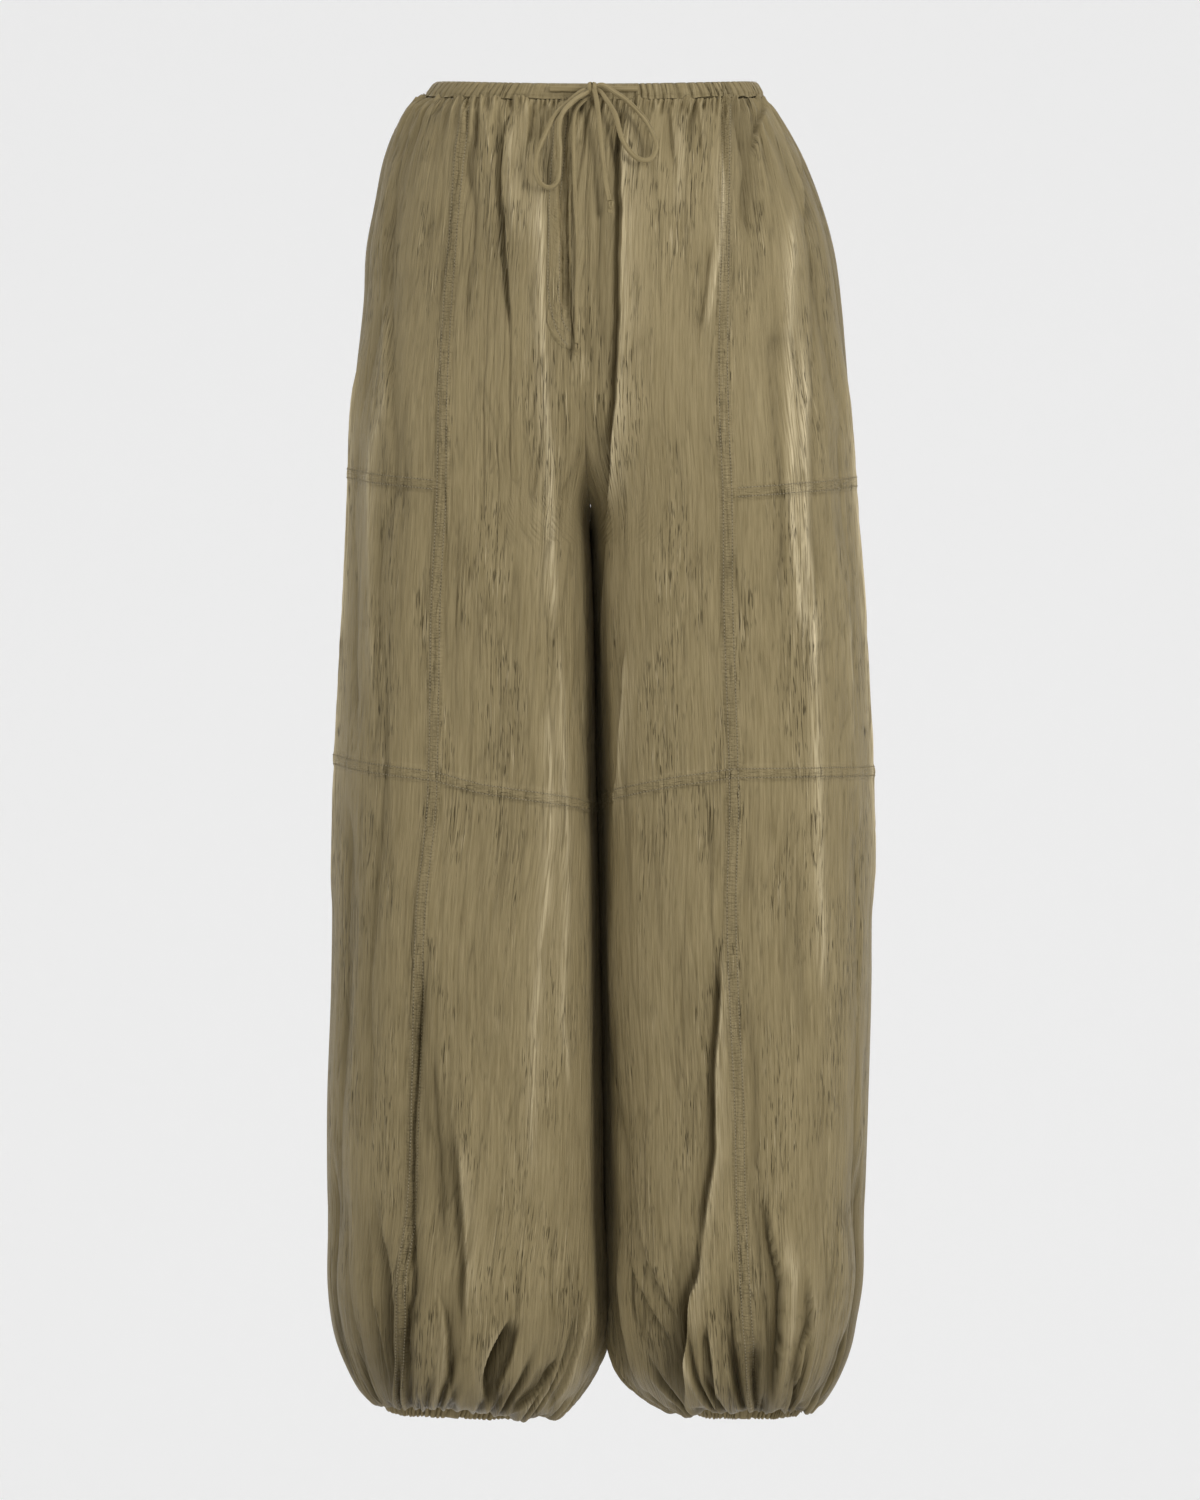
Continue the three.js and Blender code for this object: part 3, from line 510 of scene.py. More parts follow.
def sag(side, place, drop):
    """Extra drop of a row at a place, so that the hip and knee seams run along rows."""
    mirrored = np.where(place > 1.5, 3 - place, place)
    hip = read_line(HIP_SAG[side], mirrored)
    knee = read_line(KNEE_SAG[side], mirrored)
    up = np.clip((drop - 60) / (HIP_DROP - 60), 0, 1)
    mid = np.clip((drop - HIP_DROP) / (KNEE_DROP - HIP_DROP), 0, 1)
    low = np.clip((drop - KNEE_DROP) / (800 - KNEE_DROP), 0, 1)
    return hip * up * (1 - mid) + knee * mid * (1 - low)


def plain_points(side, place, drop):
    """Middle of the cloth without folds. Places 0 to 1 are the front, 1 to 2 the side and 2 to 3 the back."""
    _, z, out, away, seam, front, back, square = read_smooth(SECTIONS[side], drop)
    sign = -1 if side == "left" else 1
    middle = read_line(MIDDLE_LINE, drop)
    reach = np.abs(out - middle)
    closed = smoother_step(CLOSING_DROP, FORK_DROP, drop)
    inner = TOUCH_GAP + np.maximum(0, away)
    half = (reach - inner) * (1 - 0.5 * closed)
    centre = reach - half
    outer_power = 2 + 0.25 * (square - 2)
    cut = np.minimum(1, (centre - inner) / half)
    seam_across = (np.abs(seam - middle) - centre) / half
    seam_power = np.where(seam_across < 0, square, outer_power)
    middle_angle = np.arctan2(super_height(cut, square), -cut)
    seam_angle = np.arctan2(super_height(seam_across, seam_power), seam_across)
    front_angle = -middle_angle + (middle_angle - seam_angle) * place
    side_angle = -seam_angle + 2 * seam_angle * (place - 1)
    back_angle = seam_angle + (middle_angle - seam_angle) * (place - 2)
    angle = np.where(place < 1, front_angle, np.where(place < 2, side_angle, back_angle))
    c, s = np.cos(angle), np.sin(angle)
    power = np.where(c < 0, square, outer_power)
    r = (np.abs(c) ** power + np.abs(s) ** power) ** (-1 / power)
    x = middle + sign * (centre + half * r * c)
    y = r * s * np.where(s < 0, front, back)
    tilt = HEM_TILT[side] * smooth_step(960, 1010, drop) * (x - CUFF_X[side])
    return np.stack([x, y, z + tilt], axis=-1)


def outward(side, grid):
    across = np.gradient(grid, axis=1)
    down = np.gradient(grid, axis=0)
    normal = np.cross(across, down) if side == "left" else np.cross(down, across)
    return normal / np.maximum(np.linalg.norm(normal, axis=-1, keepdims=True), 1e-9)


def lattice_noise(a, b, seed):
    """Smooth noise from -1 to 1 at points (a, b), one cell for each unit."""
    table = np.random.RandomState(seed).uniform(-1, 1, (256, 256))
    i, j = np.floor(a).astype(int), np.floor(b).astype(int)
    u, v = a - i, b - j
    u, v = u * u * (3 - 2 * u), v * v * (3 - 2 * v)
    i0, i1, j0, j1 = i % 256, (i + 1) % 256, j % 256, (j + 1) % 256
    top = table[i0, j0] * (1 - u) + table[i1, j0] * u
    low = table[i0, j1] * (1 - u) + table[i1, j1] * u
    return top * (1 - v) + low * v


def crinkle(across, along, seed):
    """Long thin creases that wander down the cloth, deepest in patches: their height, and where they run."""
    total = np.zeros_like(across)
    marks = np.zeros_like(across)
    wander = 6 * lattice_noise(across / 60, along / 110, seed + 50)
    wander = wander + 2.5 * lattice_noise(across / 25, along / 34, seed + 51)
    for width, length, depth, number in CRINKLES:
        a = (across + wander) / width
        b = along / length + 0.8 * lattice_noise(across / 14, along / 300, seed + 7)
        n = lattice_noise(a, b, seed + number)
        patch = np.clip(0.5 + 0.75 * lattice_noise(across / 42, along / 130, seed + 70 + number), 0, 1.2)
        lines = (1 - np.abs(n)) ** CRINKLE_SHARPNESS * patch
        total += depth * (CRINKLE_WAVINESS * n - lines)
        marks = np.maximum(marks, lines * min(1, depth))
    return total, marks


def fold_sum(x, drop, folds, seed):
    """Height of listed folds at points whose sideways place is x."""
    total = np.zeros_like(x)
    wander, wander_length = FOLD_WANDER
    fade_share, most_fade = FOLD_FADE
    for k, (left_high, left_reach, right_high, right_reach, points) in enumerate(folds):
        xs = np.array([p[0] for p in points], float)
        drops = np.array([p[1] for p in points], float)
        long = min(most_fade, fade_share * (drops[-1] - drops[0]))
        first, last = drops[0], drops[-1]
        ends = fade(drop, first - 0.25 * long, first + 0.75 * long, last - 0.8 * long, last + 0.2 * long)
        line = read_smooth(np.stack([drops, xs], axis=-1), drop)[1]
        away = x - line - wander * lattice_noise(drop / wander_length, np.full_like(drop, k + 0.5), seed)
        left = left_high * np.exp(-np.abs(away) / left_reach)
        right = right_high * np.exp(-np.abs(away) / right_reach)
        share = smooth_step(-STEP_HALF, STEP_HALF, away)
        total += ends * (left * (1 - share) + right * share)
    return total


def picture_folds():
    return [(*row[:4], [(picture_x(x), -picture_z(y)) for x, y in row[4]]) for row in FRONT_FOLDS]


def back_folds():
    """The front's folds turned round to the back, each moved a little."""
    random = np.random.RandomState(SEED)
    most_across, most_down = BACK_MOVES
    folds = []
    for left_high, left_reach, right_high, right_reach, points in picture_folds():
        shift = random.uniform(-most_across, most_across)
        lower = random.uniform(-most_down, most_down)
        moved = [(shift - BACK_NARROWING * x, drop + lower) for x, drop in points]
        folds.append((BACK_SHARE * right_high, right_reach, BACK_SHARE * left_high, left_reach, moved))
    return folds


def gathers(arc, drops, spec, number):
    """Creases that start at an edge row and fade away from it, each along one grid column."""
    random = np.random.RandomState(number + spec["seed"])
    edge = int(np.argmin(np.abs(drops - spec["edge"])))
    length = arc[edge, -1] - arc[edge, 0]
    count = int(length / spec["pitch"])
    least_reach, most_reach = spec["reach"]
    edge_half, end_half = spec["half"]
    total = np.zeros_like(arc)
    for k in range(count):
        at = arc[edge, 0] + (k + 0.5 + random.uniform(-0.35, 0.35)) * length / count
        column = int(np.argmin(np.abs(arc[edge] - at)))
        reach = least_reach + (most_reach - least_reach) * random.uniform() ** 2.2
        depth = random.uniform(*spec["depth"])
        lean = random.uniform(-0.06, 0.06)
        rows = np.flatnonzero(np.abs(drops - spec["edge"]) <= reach)
        away = np.abs(drops[rows] - spec["edge"])
        share = away / reach
        half = edge_half + (end_half - edge_half) * share
        strength = (1 - smooth_step(0.3, 1, share)) * smooth_step(-1, spec["hold"], away)
        centre = arc[rows, column] + lean * away
        across = np.abs(arc[rows] - centre[:, None]) / half[:, None]
        swell = spec["swell"] * np.exp(-((across - 1.6) ** 2))
        total[rows] += strength[:, None] * (swell - depth * np.exp(-across))
    return total


def spread(length, step, fine):
    """Shares 0 to 1 across a panel, closer together near its two seams."""
    marks = np.arange(0, FINE_EDGE, fine)
    count = int(round((length - 2 * FINE_EDGE) / step))
    middle = np.linspace(FINE_EDGE, length - FINE_EDGE, count + 1)
    return np.concatenate([marks, middle, length - marks[::-1]]) / length


def leg_places():
    parts = [k + spread(*COLUMN_STEPS[k])[: None if k == 2 else -1] for k in range(3)]
    return np.concatenate(parts)


def leg_drops():
    parts = []
    for first, last, step in ROW_STEPS:
        count = int(round((last - first) / step))
        parts.append(np.linspace(first, last, count + 1)[:-1])
    return np.append(np.concatenate(parts), HEM_DROP)


def seam_relief(distance, along, seed):
    """A felled seam seen from its side: a low flat ridge, two sewn lines and the puckers beside them."""
    ridge = SEAM["ridge"] * (1 - smooth_step(*SEAM["half"], np.abs(distance)))
    lines = -SEAM["line"] * np.exp(-(((np.abs(distance) - 3.3) / 0.6) ** 2))
    noise = lattice_noise(distance / 7, along / 4.5, seed)
    return ridge + lines + SEAM["pucker"] * noise * np.exp(-((distance / 9) ** 2))


def front_dip(y, drop):
    """How far the waist's front hangs below its sides."""
    return FRONT_DIP * np.clip(-y / BAND["depth"][0], 0, 1) ** 2 * (1 - smooth_step(6, 150, drop))


def placed_folds(grid, normal, drop, number):
    """Heights of the listed folds on the front, the back and the outer side."""
    x, y = grid[..., 0], grid[..., 1]
    facing = -normal[..., 1]
    front = fold_sum(x, drop, picture_folds(), number + 1) * smooth_step(*FRONT_TURN, facing)
    back = fold_sum(x, drop, back_folds(), number + 2) * smooth_step(*FRONT_TURN, -facing)
    rows = [(high, half, high, half, points) for high, half, points in SIDE_FOLDS]
    outer = fold_sum(y, drop, rows, number + 3) * smooth_step(*SIDE_TURN, np.abs(normal[..., 0]))
    outer = outer * smooth_step(*SIDE_START, np.abs(x - read_line(MIDDLE_LINE, drop)))
    return (front + back + outer) * (1 - smooth_step(*FOLDS_END, drop))


def groove_share(grid, drop):
    """The hollow between the two legs: 1 in its middle, 0 outside it."""
    across = grid[..., 0] - GROOVE["x"]
    across = across / np.where(across < 0, GROOVE["left_half"], GROOVE["right_half"])
    return fade(drop, *GROOVE["drops"]) * np.exp(-(across**4)) * smooth_step(0, 80, np.abs(grid[..., 1]))


def seam_details(arc, seam_columns, place, row_drop, drop, edge, number):
    """Relief of every seam of a leg, the painted shade of its sewn lines, and where the cloth is puckered."""
    on_side = (place > 1) & (place < 2)
    seams = [(arc - arc[:, [column]], drop, 20 + k, edge) for k, column in enumerate(seam_columns)]
    seams.append((np.clip(row_drop - KNEE_DROP, -30, 30), arc, 31, 1))
    seams.append((np.where(on_side, np.clip(row_drop - HIP_DROP, -30, 30), 30), arc, 32, 1))
    relief, shade, mask = np.zeros((3, *arc.shape))
    for distance, along, seed, share in seams:
        relief += seam_relief(distance, along, number + seed) * share
        sewn_line = np.exp(-(((np.abs(distance) - STITCH["away"]) / 0.6) ** 2))
        shade += SEAM["shade"] * sewn_line * share
        mask = np.maximum(mask, np.exp(-((distance / SEAM["reach"]) ** 4)))
    return relief, shade, mask


def share_middle_face(side, grid, drop):
    """Keeps a leg on its own side of the wavy face at which the two legs touch."""
    middle = read_line(MIDDLE_LINE, drop)
    sign = -1 if side == "left" else 1
    y = grid[..., 1]
    away = np.maximum(sign * (grid[..., 0] - middle), TOUCH_GAP)
    closed = smooth_step(CLOSING_DROP, FORK_DROP, drop)
    wave = TOUCH_WAVE * closed * np.sin(y / 13) * np.clip(1 - (y / 85) ** 2, 0, 1)
    wave = (wave + TOUCH_LEAN * y / 110) * np.exp(-((away / 30) ** 2))
    grid[..., 0] = middle + sign * away + wave


def hang_over_cuff(side, grid, row_drop, number):
    """Lets the hem hang over the cuff in a small fringe and in the lumps that the photo shows."""
    x = grid[..., 0]
    fringe = np.clip(lattice_noise(x / FRINGE["pitch"], 0 * x, number + 42), 0, 1)
    grid[..., 2] -= FRINGE["hang"] * fringe * np.exp(-(((row_drop - FRINGE["row"]) / FRINGE["half"]) ** 2))
    near_row = np.exp(-(((row_drop - LUMP_ROW[0]) / LUMP_ROW[1]) ** 2)) * smooth_step(10, -10, grid[..., 1])
    for middle, half, hang in HEM_LUMPS[side]:
        grid[..., 2] -= hang * np.exp(-(((x - middle) / half) ** 2)) * near_row


def build_leg(side):
    """The whole leg as one fine grid of folded cloth, with the lengths across and along it."""
    places, drops = leg_places(), leg_drops()
    place, row_drop = np.meshgrid(places, drops)
    drop = row_drop + sag(side, place, row_drop)
    grid = plain_points(side, place, drop)
    normal = outward(side, grid)
    steps = np.linalg.norm(np.diff(grid, axis=1), axis=-1)
    arc = np.concatenate([np.zeros((len(drops), 1)), np.cumsum(steps, axis=1)], axis=1)
    front_seam, back_seam = [int(np.argmin(np.abs(places - p))) for p in (1, 2)]
    arc = arc - arc[:, [front_seam]]
    to_back = arc[:, [back_seam]]
    side_grain = np.where(place < 2, SIDE_WIDTH * arc / to_back, SIDE_WIDTH + arc - to_back)
    grain = np.where(place < 1, arc, side_grain)
    number = SEED + (0 if side == "left" else 100)

    inner = smooth_step(0.0, MIDDLE_FADE, np.minimum(place, 3 - place))
    coarse = placed_folds(grid, normal, drop, number)
    for spec in GATHERS:
        coarse = coarse + gathers(arc, drops, spec, number)
    coarse = coarse * inner
    fine, lines = crinkle(grain, drop, number)
    edge = fade(drop, *CRINKLE_DROPS)
    fine_share = edge * (CRINKLE_AT_MIDDLE + (1 - CRINKLE_AT_MIDDLE) * inner)
    fullness = sum(high * fade(drop, *drops_of) for high, *drops_of in FULLNESS)
    lumps = lattice_noise(arc / 6, 0 * arc, number + 40)
    lumps = lumps + 0.7 * lattice_noise(arc / 2.6, 0 * arc, number + 41)
    lumps = np.clip(lumps, 0, 1) * (1 - smooth_step(TOP_DROP, WAIST_LUMPS["until"], row_drop))
    relief, seam_shade, seam_mask = seam_details(
        arc, (front_seam, back_seam), place, row_drop, drop, edge, number,
    )
    height = coarse + fine * fine_share + fullness * inner + WAIST_LUMPS["out"] * lumps + relief

    # Painted shade: the colour is darkened in the folds' valleys, along the crinkle's lines, on the hem's
    # underside, in the hollow between the legs and along the sewn lines.
    hem = smooth_step(*HEM_SHADE_DROPS, drop)
    groove = groove_share(grid, drop)
    darkest_at = CREASE_SHADE_DEPTH[0] * (1 - hem) + CREASE_SHADE_DEPTH[1] * hem
    most = CREASE_SHADE_MOST[0] * (1 - hem) + CREASE_SHADE_MOST[1] * hem
    crease_shade = np.clip(-coarse / darkest_at, 0, most) + CRINKLE_SHADE * lines * fine_share
    crease_shade = crease_shade + UNDERSIDE_SHADE * hem * np.clip(-normal[..., 2], 0, 1)
    crease_shade = crease_shade + GROOVE_SHADE * groove + seam_shade

    grid = grid + normal * height[..., None]
    share_middle_face(side, grid, drop)
    grid[..., 1] -= np.sign(grid[..., 1]) * GROOVE["depth"] * groove
    grid[..., 2] += WAIST_LUMPS["rise"] * lumps - front_dip(grid[..., 1], row_drop)
    hang_over_cuff(side, grid, row_drop, number)
    # Besides its shape, the leg carries a painted shade for its creases and a painted highlight for the
    # ridges of its folds.
    return {
        "side": side, "places": places, "drops": drops, "grid": grid, "normal": outward(side, grid),
        "arc": arc, "grain": grain, "drop": drop, "front_seam": front_seam, "back_seam": back_seam,
        "crease_shade": crease_shade, "seam": seam_mask, "painted_shine": np.clip(coarse / PAINTED_SHINE_HEIGHT, 0, 1) ** PAINTED_SHINE_POWER,
    }


def new_mesh(name, points, faces, material):
    mesh = bpy.data.meshes.new(name)
    mesh.from_pydata((np.asarray(points) * MM).tolist(), [], faces)
    mesh.materials.append(material)
    mesh.shade_smooth()
    mesh.update()
    piece = bpy.data.objects.new(name, mesh)
    bpy.context.collection.objects.link(piece)
    return piece


def grid_faces(rows, columns, turn, closed=False):
    """Quads of a grid, row by row; turn puts their outer side the other way round."""
    c = np.arange(columns if closed else columns - 1)
    r = np.arange(rows - 1)[:, None]
    a = r * columns + c
    b = r * columns + (c + 1) % columns
    quads = np.stack([a, b, b + columns, a + columns], axis=-1).reshape(-1, 4)
    return (quads[:, ::-1] if turn else quads).tolist()


def set_attribute(piece, name, values):
    layer = piece.data.attributes.new(name, "FLOAT", "POINT")
    layer.data.foreach_set("value", np.asarray(values, np.float32).ravel())


def set_looks(piece, crease_shade, seam, painted_shine):
    """Gives every point of a piece what the cloth's material reads: how dark its painted shade is, how
    puckered it is, and how strong its painted highlight.
    """
    for name, values in (("crease_shade", crease_shade), ("seam", seam), ("painted_shine", painted_shine)):
        set_attribute(piece, name, np.broadcast_to(values, len(piece.data.vertices)))


def set_cloth_map(piece, across, along):
    """Length across and along the cloth, in metres, for the weave and the crinkle of the material."""
    layer = piece.data.uv_layers.new(name="cloth")
    corners = np.zeros(len(piece.data.loops), np.int32)
    piece.data.loops.foreach_get("vertex_index", corners)
    pairs = np.stack([across.ravel()[corners], along.ravel()[corners]], axis=-1) * MM
    layer.data.foreach_set("uv", pairs.astype(np.float32).ravel())


def node_maker(tree):
    def make(kind, **values):
        node = tree.nodes.new(kind)
        for key, value in values.items():
            if key in node.inputs:
                node.inputs[key].default_value = value
            else:
                setattr(node, key, value)
        return node

    return make


def cloth_material(name, tone=1.0, bump=1.0):
    """Crinkled satin: streaks of light and dark, painted shade in its folds and in short creases, painted
    glints and highlights, soft sheen and a close weave.
    """
    material = bpy.data.materials.new(name)
    material.use_nodes = True
    tree = material.node_tree
    tree.nodes.clear()
    make = node_maker(tree)
    link = tree.links.new
    shader = make("ShaderNodeBsdfPrincipled", **SHEEN)
    shader.inputs["Sheen Tint"].default_value = SHEEN_COLOR
    shader.inputs["Specular Tint"].default_value = SHEEN_COLOR
    out = make("ShaderNodeOutputMaterial")
    link(shader.outputs["BSDF"], out.inputs["Surface"])
    cloth = make("ShaderNodeUVMap", uv_map="cloth")
    layers = [make("ShaderNodeAttribute", attribute_name=layer) for layer in ("crease_shade", "seam", "painted_shine")]
    crease_shade, seam, painted_shine = [layer.outputs["Fac"] for layer in layers]

    def fill(socket, value):
        """Puts a number or a colour into a socket, or links another node's output to it."""
        if isinstance(value, (int, float, tuple)):
            socket.default_value = value
        else:
            link(value, socket)

    def streak(kind):
        """Noise drawn out along the cloth."""
        across, along, detail = NOISES[kind]
        mapping = make("ShaderNodeMapping")
        mapping.inputs["Scale"].default_value = (across, along, 1)
        link(cloth.outputs["UV"], mapping.inputs["Vector"])
        noise = make("ShaderNodeTexNoise", Scale=1.0, Detail=detail, Roughness=0.6)
        link(mapping.outputs["Vector"], noise.inputs["Vector"])
        return noise.outputs["Fac"]

    def combine(operation, a, b):
        node = make("ShaderNodeMath", operation=operation)
        fill(node.inputs[0], a)
        fill(node.inputs[1], b)
        return node.outputs[0]

    def between(value, kind):
        """A value turned from one range into another and kept inside it."""
        node = make("ShaderNodeMapRange")
        for socket, number in zip(("From Min", "From Max", "To Min", "To Max"), RANGES[kind]):
            node.inputs[socket].default_value = number
        link(value, node.inputs["Value"])
        return node.outputs["Result"]

    def blend(share, a, b):
        node = make("ShaderNodeMix", data_type="RGBA")
        link(share, node.inputs["Factor"])
        fill(node.inputs[6], a)
        fill(node.inputs[7], b)
        return node.outputs[2]

    def press(height, kind, before, strength=1.0):
        """Bump of a height field on top of an earlier one."""
        node = make("ShaderNodeBump", Strength=strength * bump, Distance=BUMPS[kind])
        link(height, node.inputs["Height"])
        if before:
            link(before, node.inputs["Normal"])
        return node.outputs["Normal"]

    def from_middle(kind):
        """How far a noise is from its middle value, which draws thin lines where it is near 0."""
        return combine("ABSOLUTE", combine("SUBTRACT", streak(kind), 0.5), 0)

    wide, thin = streak("wide"), streak("thin")
    patch = between(streak("patch"), "patch")
    # The dark hairs and dashes are painted shade in fine creases that the bump also dents; the ticks are
    # painted shade in the seams' puckers.
    hairs = combine("MULTIPLY", between(from_middle("hair"), "hair"), patch)
    dashes = combine("MULTIPLY", between(streak("dash"), "dash"), patch)
    ticks = combine("MULTIPLY", between(streak("tick"), "tick"), seam)
    # The glints and the bright specks are painted highlights.
    glints = between(streak("glint"), "glint")
    highlight_specks = between(streak("highlight_speck"), "highlight_speck")

    mixed = combine("ADD", combine("MULTIPLY", wide, WIDE_SHARE), combine("MULTIPLY", thin, 1 - WIDE_SHARE))
    shades = [tuple(tone * v for v in color[:3]) + (1,) for color in (CLOTH_MID, CLOTH_LIGHT)]
    plain = blend(between(mixed, "tone"), *shades)
    # Painted highlight: the colour turns pale on the ridges of folds where glints fall, and at bright specks.
    lit = combine("MULTIPLY", combine("MULTIPLY", painted_shine, glints), PAINTED_HIGHLIGHT_SHARE)
    lit = combine("MAXIMUM", lit, combine("MULTIPLY", highlight_specks, patch))
    # Painted shade: the creases' shade from the mesh, the hairs, the dashes and the ticks darken the colour.
    dark = combine("ADD", combine("ADD", crease_shade, dashes), combine("MAXIMUM", hairs, ticks))
    color = blend(combine("MINIMUM", dark, DARKEST_PAINTED_SHADE), blend(lit, plain, PAINTED_HIGHLIGHT_COLOR), PAINTED_SHADE_COLOR)
    link(color, shader.inputs["Base Color"])
    link(between(thin, "roughness"), shader.inputs["Roughness"])

    normal = press(streak("weave"), "weave", None, WEAVE_STRENGTH)
    normal = press(from_middle("ridge"), "ridge", normal)
    normal = press(combine("SUBTRACT", 1.0, combine("MAXIMUM", dashes, hairs)), "hair", normal)
    normal = press(combine("MULTIPLY", streak("pucker"), seam), "pucker", normal)
    link(normal, shader.inputs["Normal"])
    return material


def thread_material():
    """Sewing thread, a little lighter than the cloth, and painted shade in the needle holes between its
    stitches.
    """
    material = bpy.data.materials.new("thread")
    material.use_nodes = True
    tree = material.node_tree
    make = node_maker(tree)
    shader = tree.nodes["Principled BSDF"]
    shader.inputs["Roughness"].default_value = THREAD_ROUGHNESS
    noise = make("ShaderNodeTexNoise", Scale=THREAD_NOISE)
    ramp = make("ShaderNodeValToRGB")
    for element, color in zip(ramp.color_ramp.elements, THREAD_COLORS):
        element.color = color
    hole = make("ShaderNodeAttribute", attribute_name="hole")
    mix = make("ShaderNodeMix", data_type="RGBA")
    mix.inputs[7].default_value = HOLE_SHADE_COLOR
    tree.links.new(noise.outputs["Fac"], ramp.inputs["Fac"])
    tree.links.new(hole.outputs["Fac"], mix.inputs["Factor"])
    tree.links.new(ramp.outputs["Color"], mix.inputs[6])
    tree.links.new(mix.outputs[2], shader.inputs["Base Color"])
    return material


def build_panel(leg, name, first_place, last_place, first_drop, last_drop, material):
    """One sewn panel, cut out of the leg's grid between its seams."""
    places, drops = leg["places"], leg["drops"]
    c0, c1 = [int(np.argmin(np.abs(places - p))) for p in (first_place, last_place)]
    r0, r1 = [int(np.argmin(np.abs(drops - d))) for d in (first_drop, last_drop)]
    part = np.s_[r0 : r1 + 1, c0 : c1 + 1]
    piece = grid_piece(f"{leg['side']}_{name}_cloth", leg["grid"][part], material, leg["side"] == "right")
    set_cloth_map(piece, leg["grain"][part], leg["drop"][part])
    # The panel's painted shade, kept short of the darkest.
    crease_shade = np.clip(leg["crease_shade"][part], 0, 0.85)
    set_looks(piece, crease_shade.ravel(), leg["seam"][part].ravel(), leg["painted_shine"][part].ravel())
    place_piece(piece, "cloth", f"{leg['side']}_{name}")


def grid_piece(name, grid, material, turn, closed=False):
    rows, columns = grid.shape[:2]
    return new_mesh(name, grid.reshape(-1, 3), grid_faces(rows, columns, turn, closed), material)


def place_piece(piece, slot, *nodes):
    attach(piece, "root")
    if nodes:
        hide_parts(*nodes)


def plain_cloth(piece, across, along, crease_shade=0):
    """The looks of a piece that isn't a panel: a little puckered all over, with the painted shade it is given
    and no painted highlight.
    """
    set_cloth_map(piece, across, along)
    set_looks(piece, crease_shade, 0.3, 0)


def read_grid(leg, name, place, drop):
    """Values of the leg's grid at free places and drops."""
    values = leg[name]
    if values.ndim == 2:
        values = values[..., None]
    columns = np.interp(place, leg["places"], np.arange(len(leg["places"])))
    rows = np.interp(drop, leg["drops"], np.arange(len(leg["drops"])))
    c = np.clip(np.floor(columns).astype(int), 0, values.shape[1] - 2)
    r = np.clip(np.floor(rows).astype(int), 0, values.shape[0] - 2)
    u, v = (columns - c)[..., None], (rows - r)[..., None]
    top = values[r, c] * (1 - u) + values[r, c + 1] * u
    low = values[r + 1, c] * (1 - u) + values[r + 1, c + 1] * u
    return top * (1 - v) + low * v


def fly_end(across):
    """Drop of the fly's lower edge, a quarter curve that rises towards the outer side."""
    return FLY["end_outer"] + (FLY["end_inner"] - FLY["end_outer"]) * np.sqrt(np.maximum(0, 1 - across**2))


def fly_lift(across, down):
    """Height of the placket over the front: sewn flat at its outer side, rolled and wavy at its free edge."""
    free = 0.7 * np.exp(-(((across - 0.04) / 0.05) ** 2)) - 0.9 * np.exp(-((across / 0.02) ** 2))
    sewn = smooth_step(0, 0.04, 1 - across) * smooth_step(0, 0.012, 1 - down)
    crumple = 0.35 * lattice_noise(across * 7, down * 40, SEED + 5)
    crumple = crumple + 0.25 * lattice_noise(across * 18, down * 16, SEED + 6)
    return 0.25 + 0.75 * sewn + free + crumple * sewn


def fly_points(leg, across, down, lift):
    place = FLY["inner"] + (FLY["outer"] - FLY["inner"]) * across
    drop = FLY["top"] + (fly_end(across) - FLY["top"]) * down
    points = read_grid(leg, "grid", place, drop)
    normals = read_grid(leg, "normal", place, drop)
    return points + normals * lift[..., None], normals


def build_fly(leg, material):
    """The fly's placket, laid on the left front, with a rolled free edge beside the middle seam."""
    across, down = np.meshgrid(np.linspace(0, 1, 60), np.linspace(0, 1, 170))
    points, _ = fly_points(leg, across, down, fly_lift(across, down))
    piece = grid_piece("fly_cloth", points, material, False)
    plain_cloth(piece, across * 26, down * 190)
    place_piece(piece, "cloth", "fly")


def band_point(angle, share, out):
    """Points on the waistband's outer face, by angle, share of its height and distance out."""
    left = BAND["left"][0] + (BAND["left"][1] - BAND["left"][0]) * share
    right = BAND["right"][0] + (BAND["right"][1] - BAND["right"][0]) * share
    depth = BAND["depth"][0] + (BAND["depth"][1] - BAND["depth"][0]) * share
    x = (left + right) / 2 + ((right - left) / 2 + out) * np.cos(angle)
    y = (depth + out) * np.sin(angle)
    z = BAND["bottom"] + (BAND["top"] - BAND["bottom"]) * share
    z = z - FRONT_DIP * np.clip(-np.sin(angle), 0, 1) ** 2
    return np.stack([x, y, z], axis=-1)


def rib_phase(angle, length, pitch, seed):
    """A count of ribs round a ring, unevenly spaced but closing on itself."""
    ribs = round(length / pitch)
    turn = (angle / (2 * math.pi)) % 1
    uneven = 0
    for k in (1, 2, 3):
        shift = lattice_noise(np.array([k + 0.5]), np.array([0.5]), seed)
        uneven = uneven + 0.55 / k * np.sin(2 * math.pi * (k * turn * 7 + shift))
    return turn * ribs + uneven


def rib_height(phase, sharpness):
    """Rounded ribs with narrow valleys: 0 on top, -1 in a valley."""
    return -((1 - np.abs(np.sin(math.pi * phase))) ** sharpness)


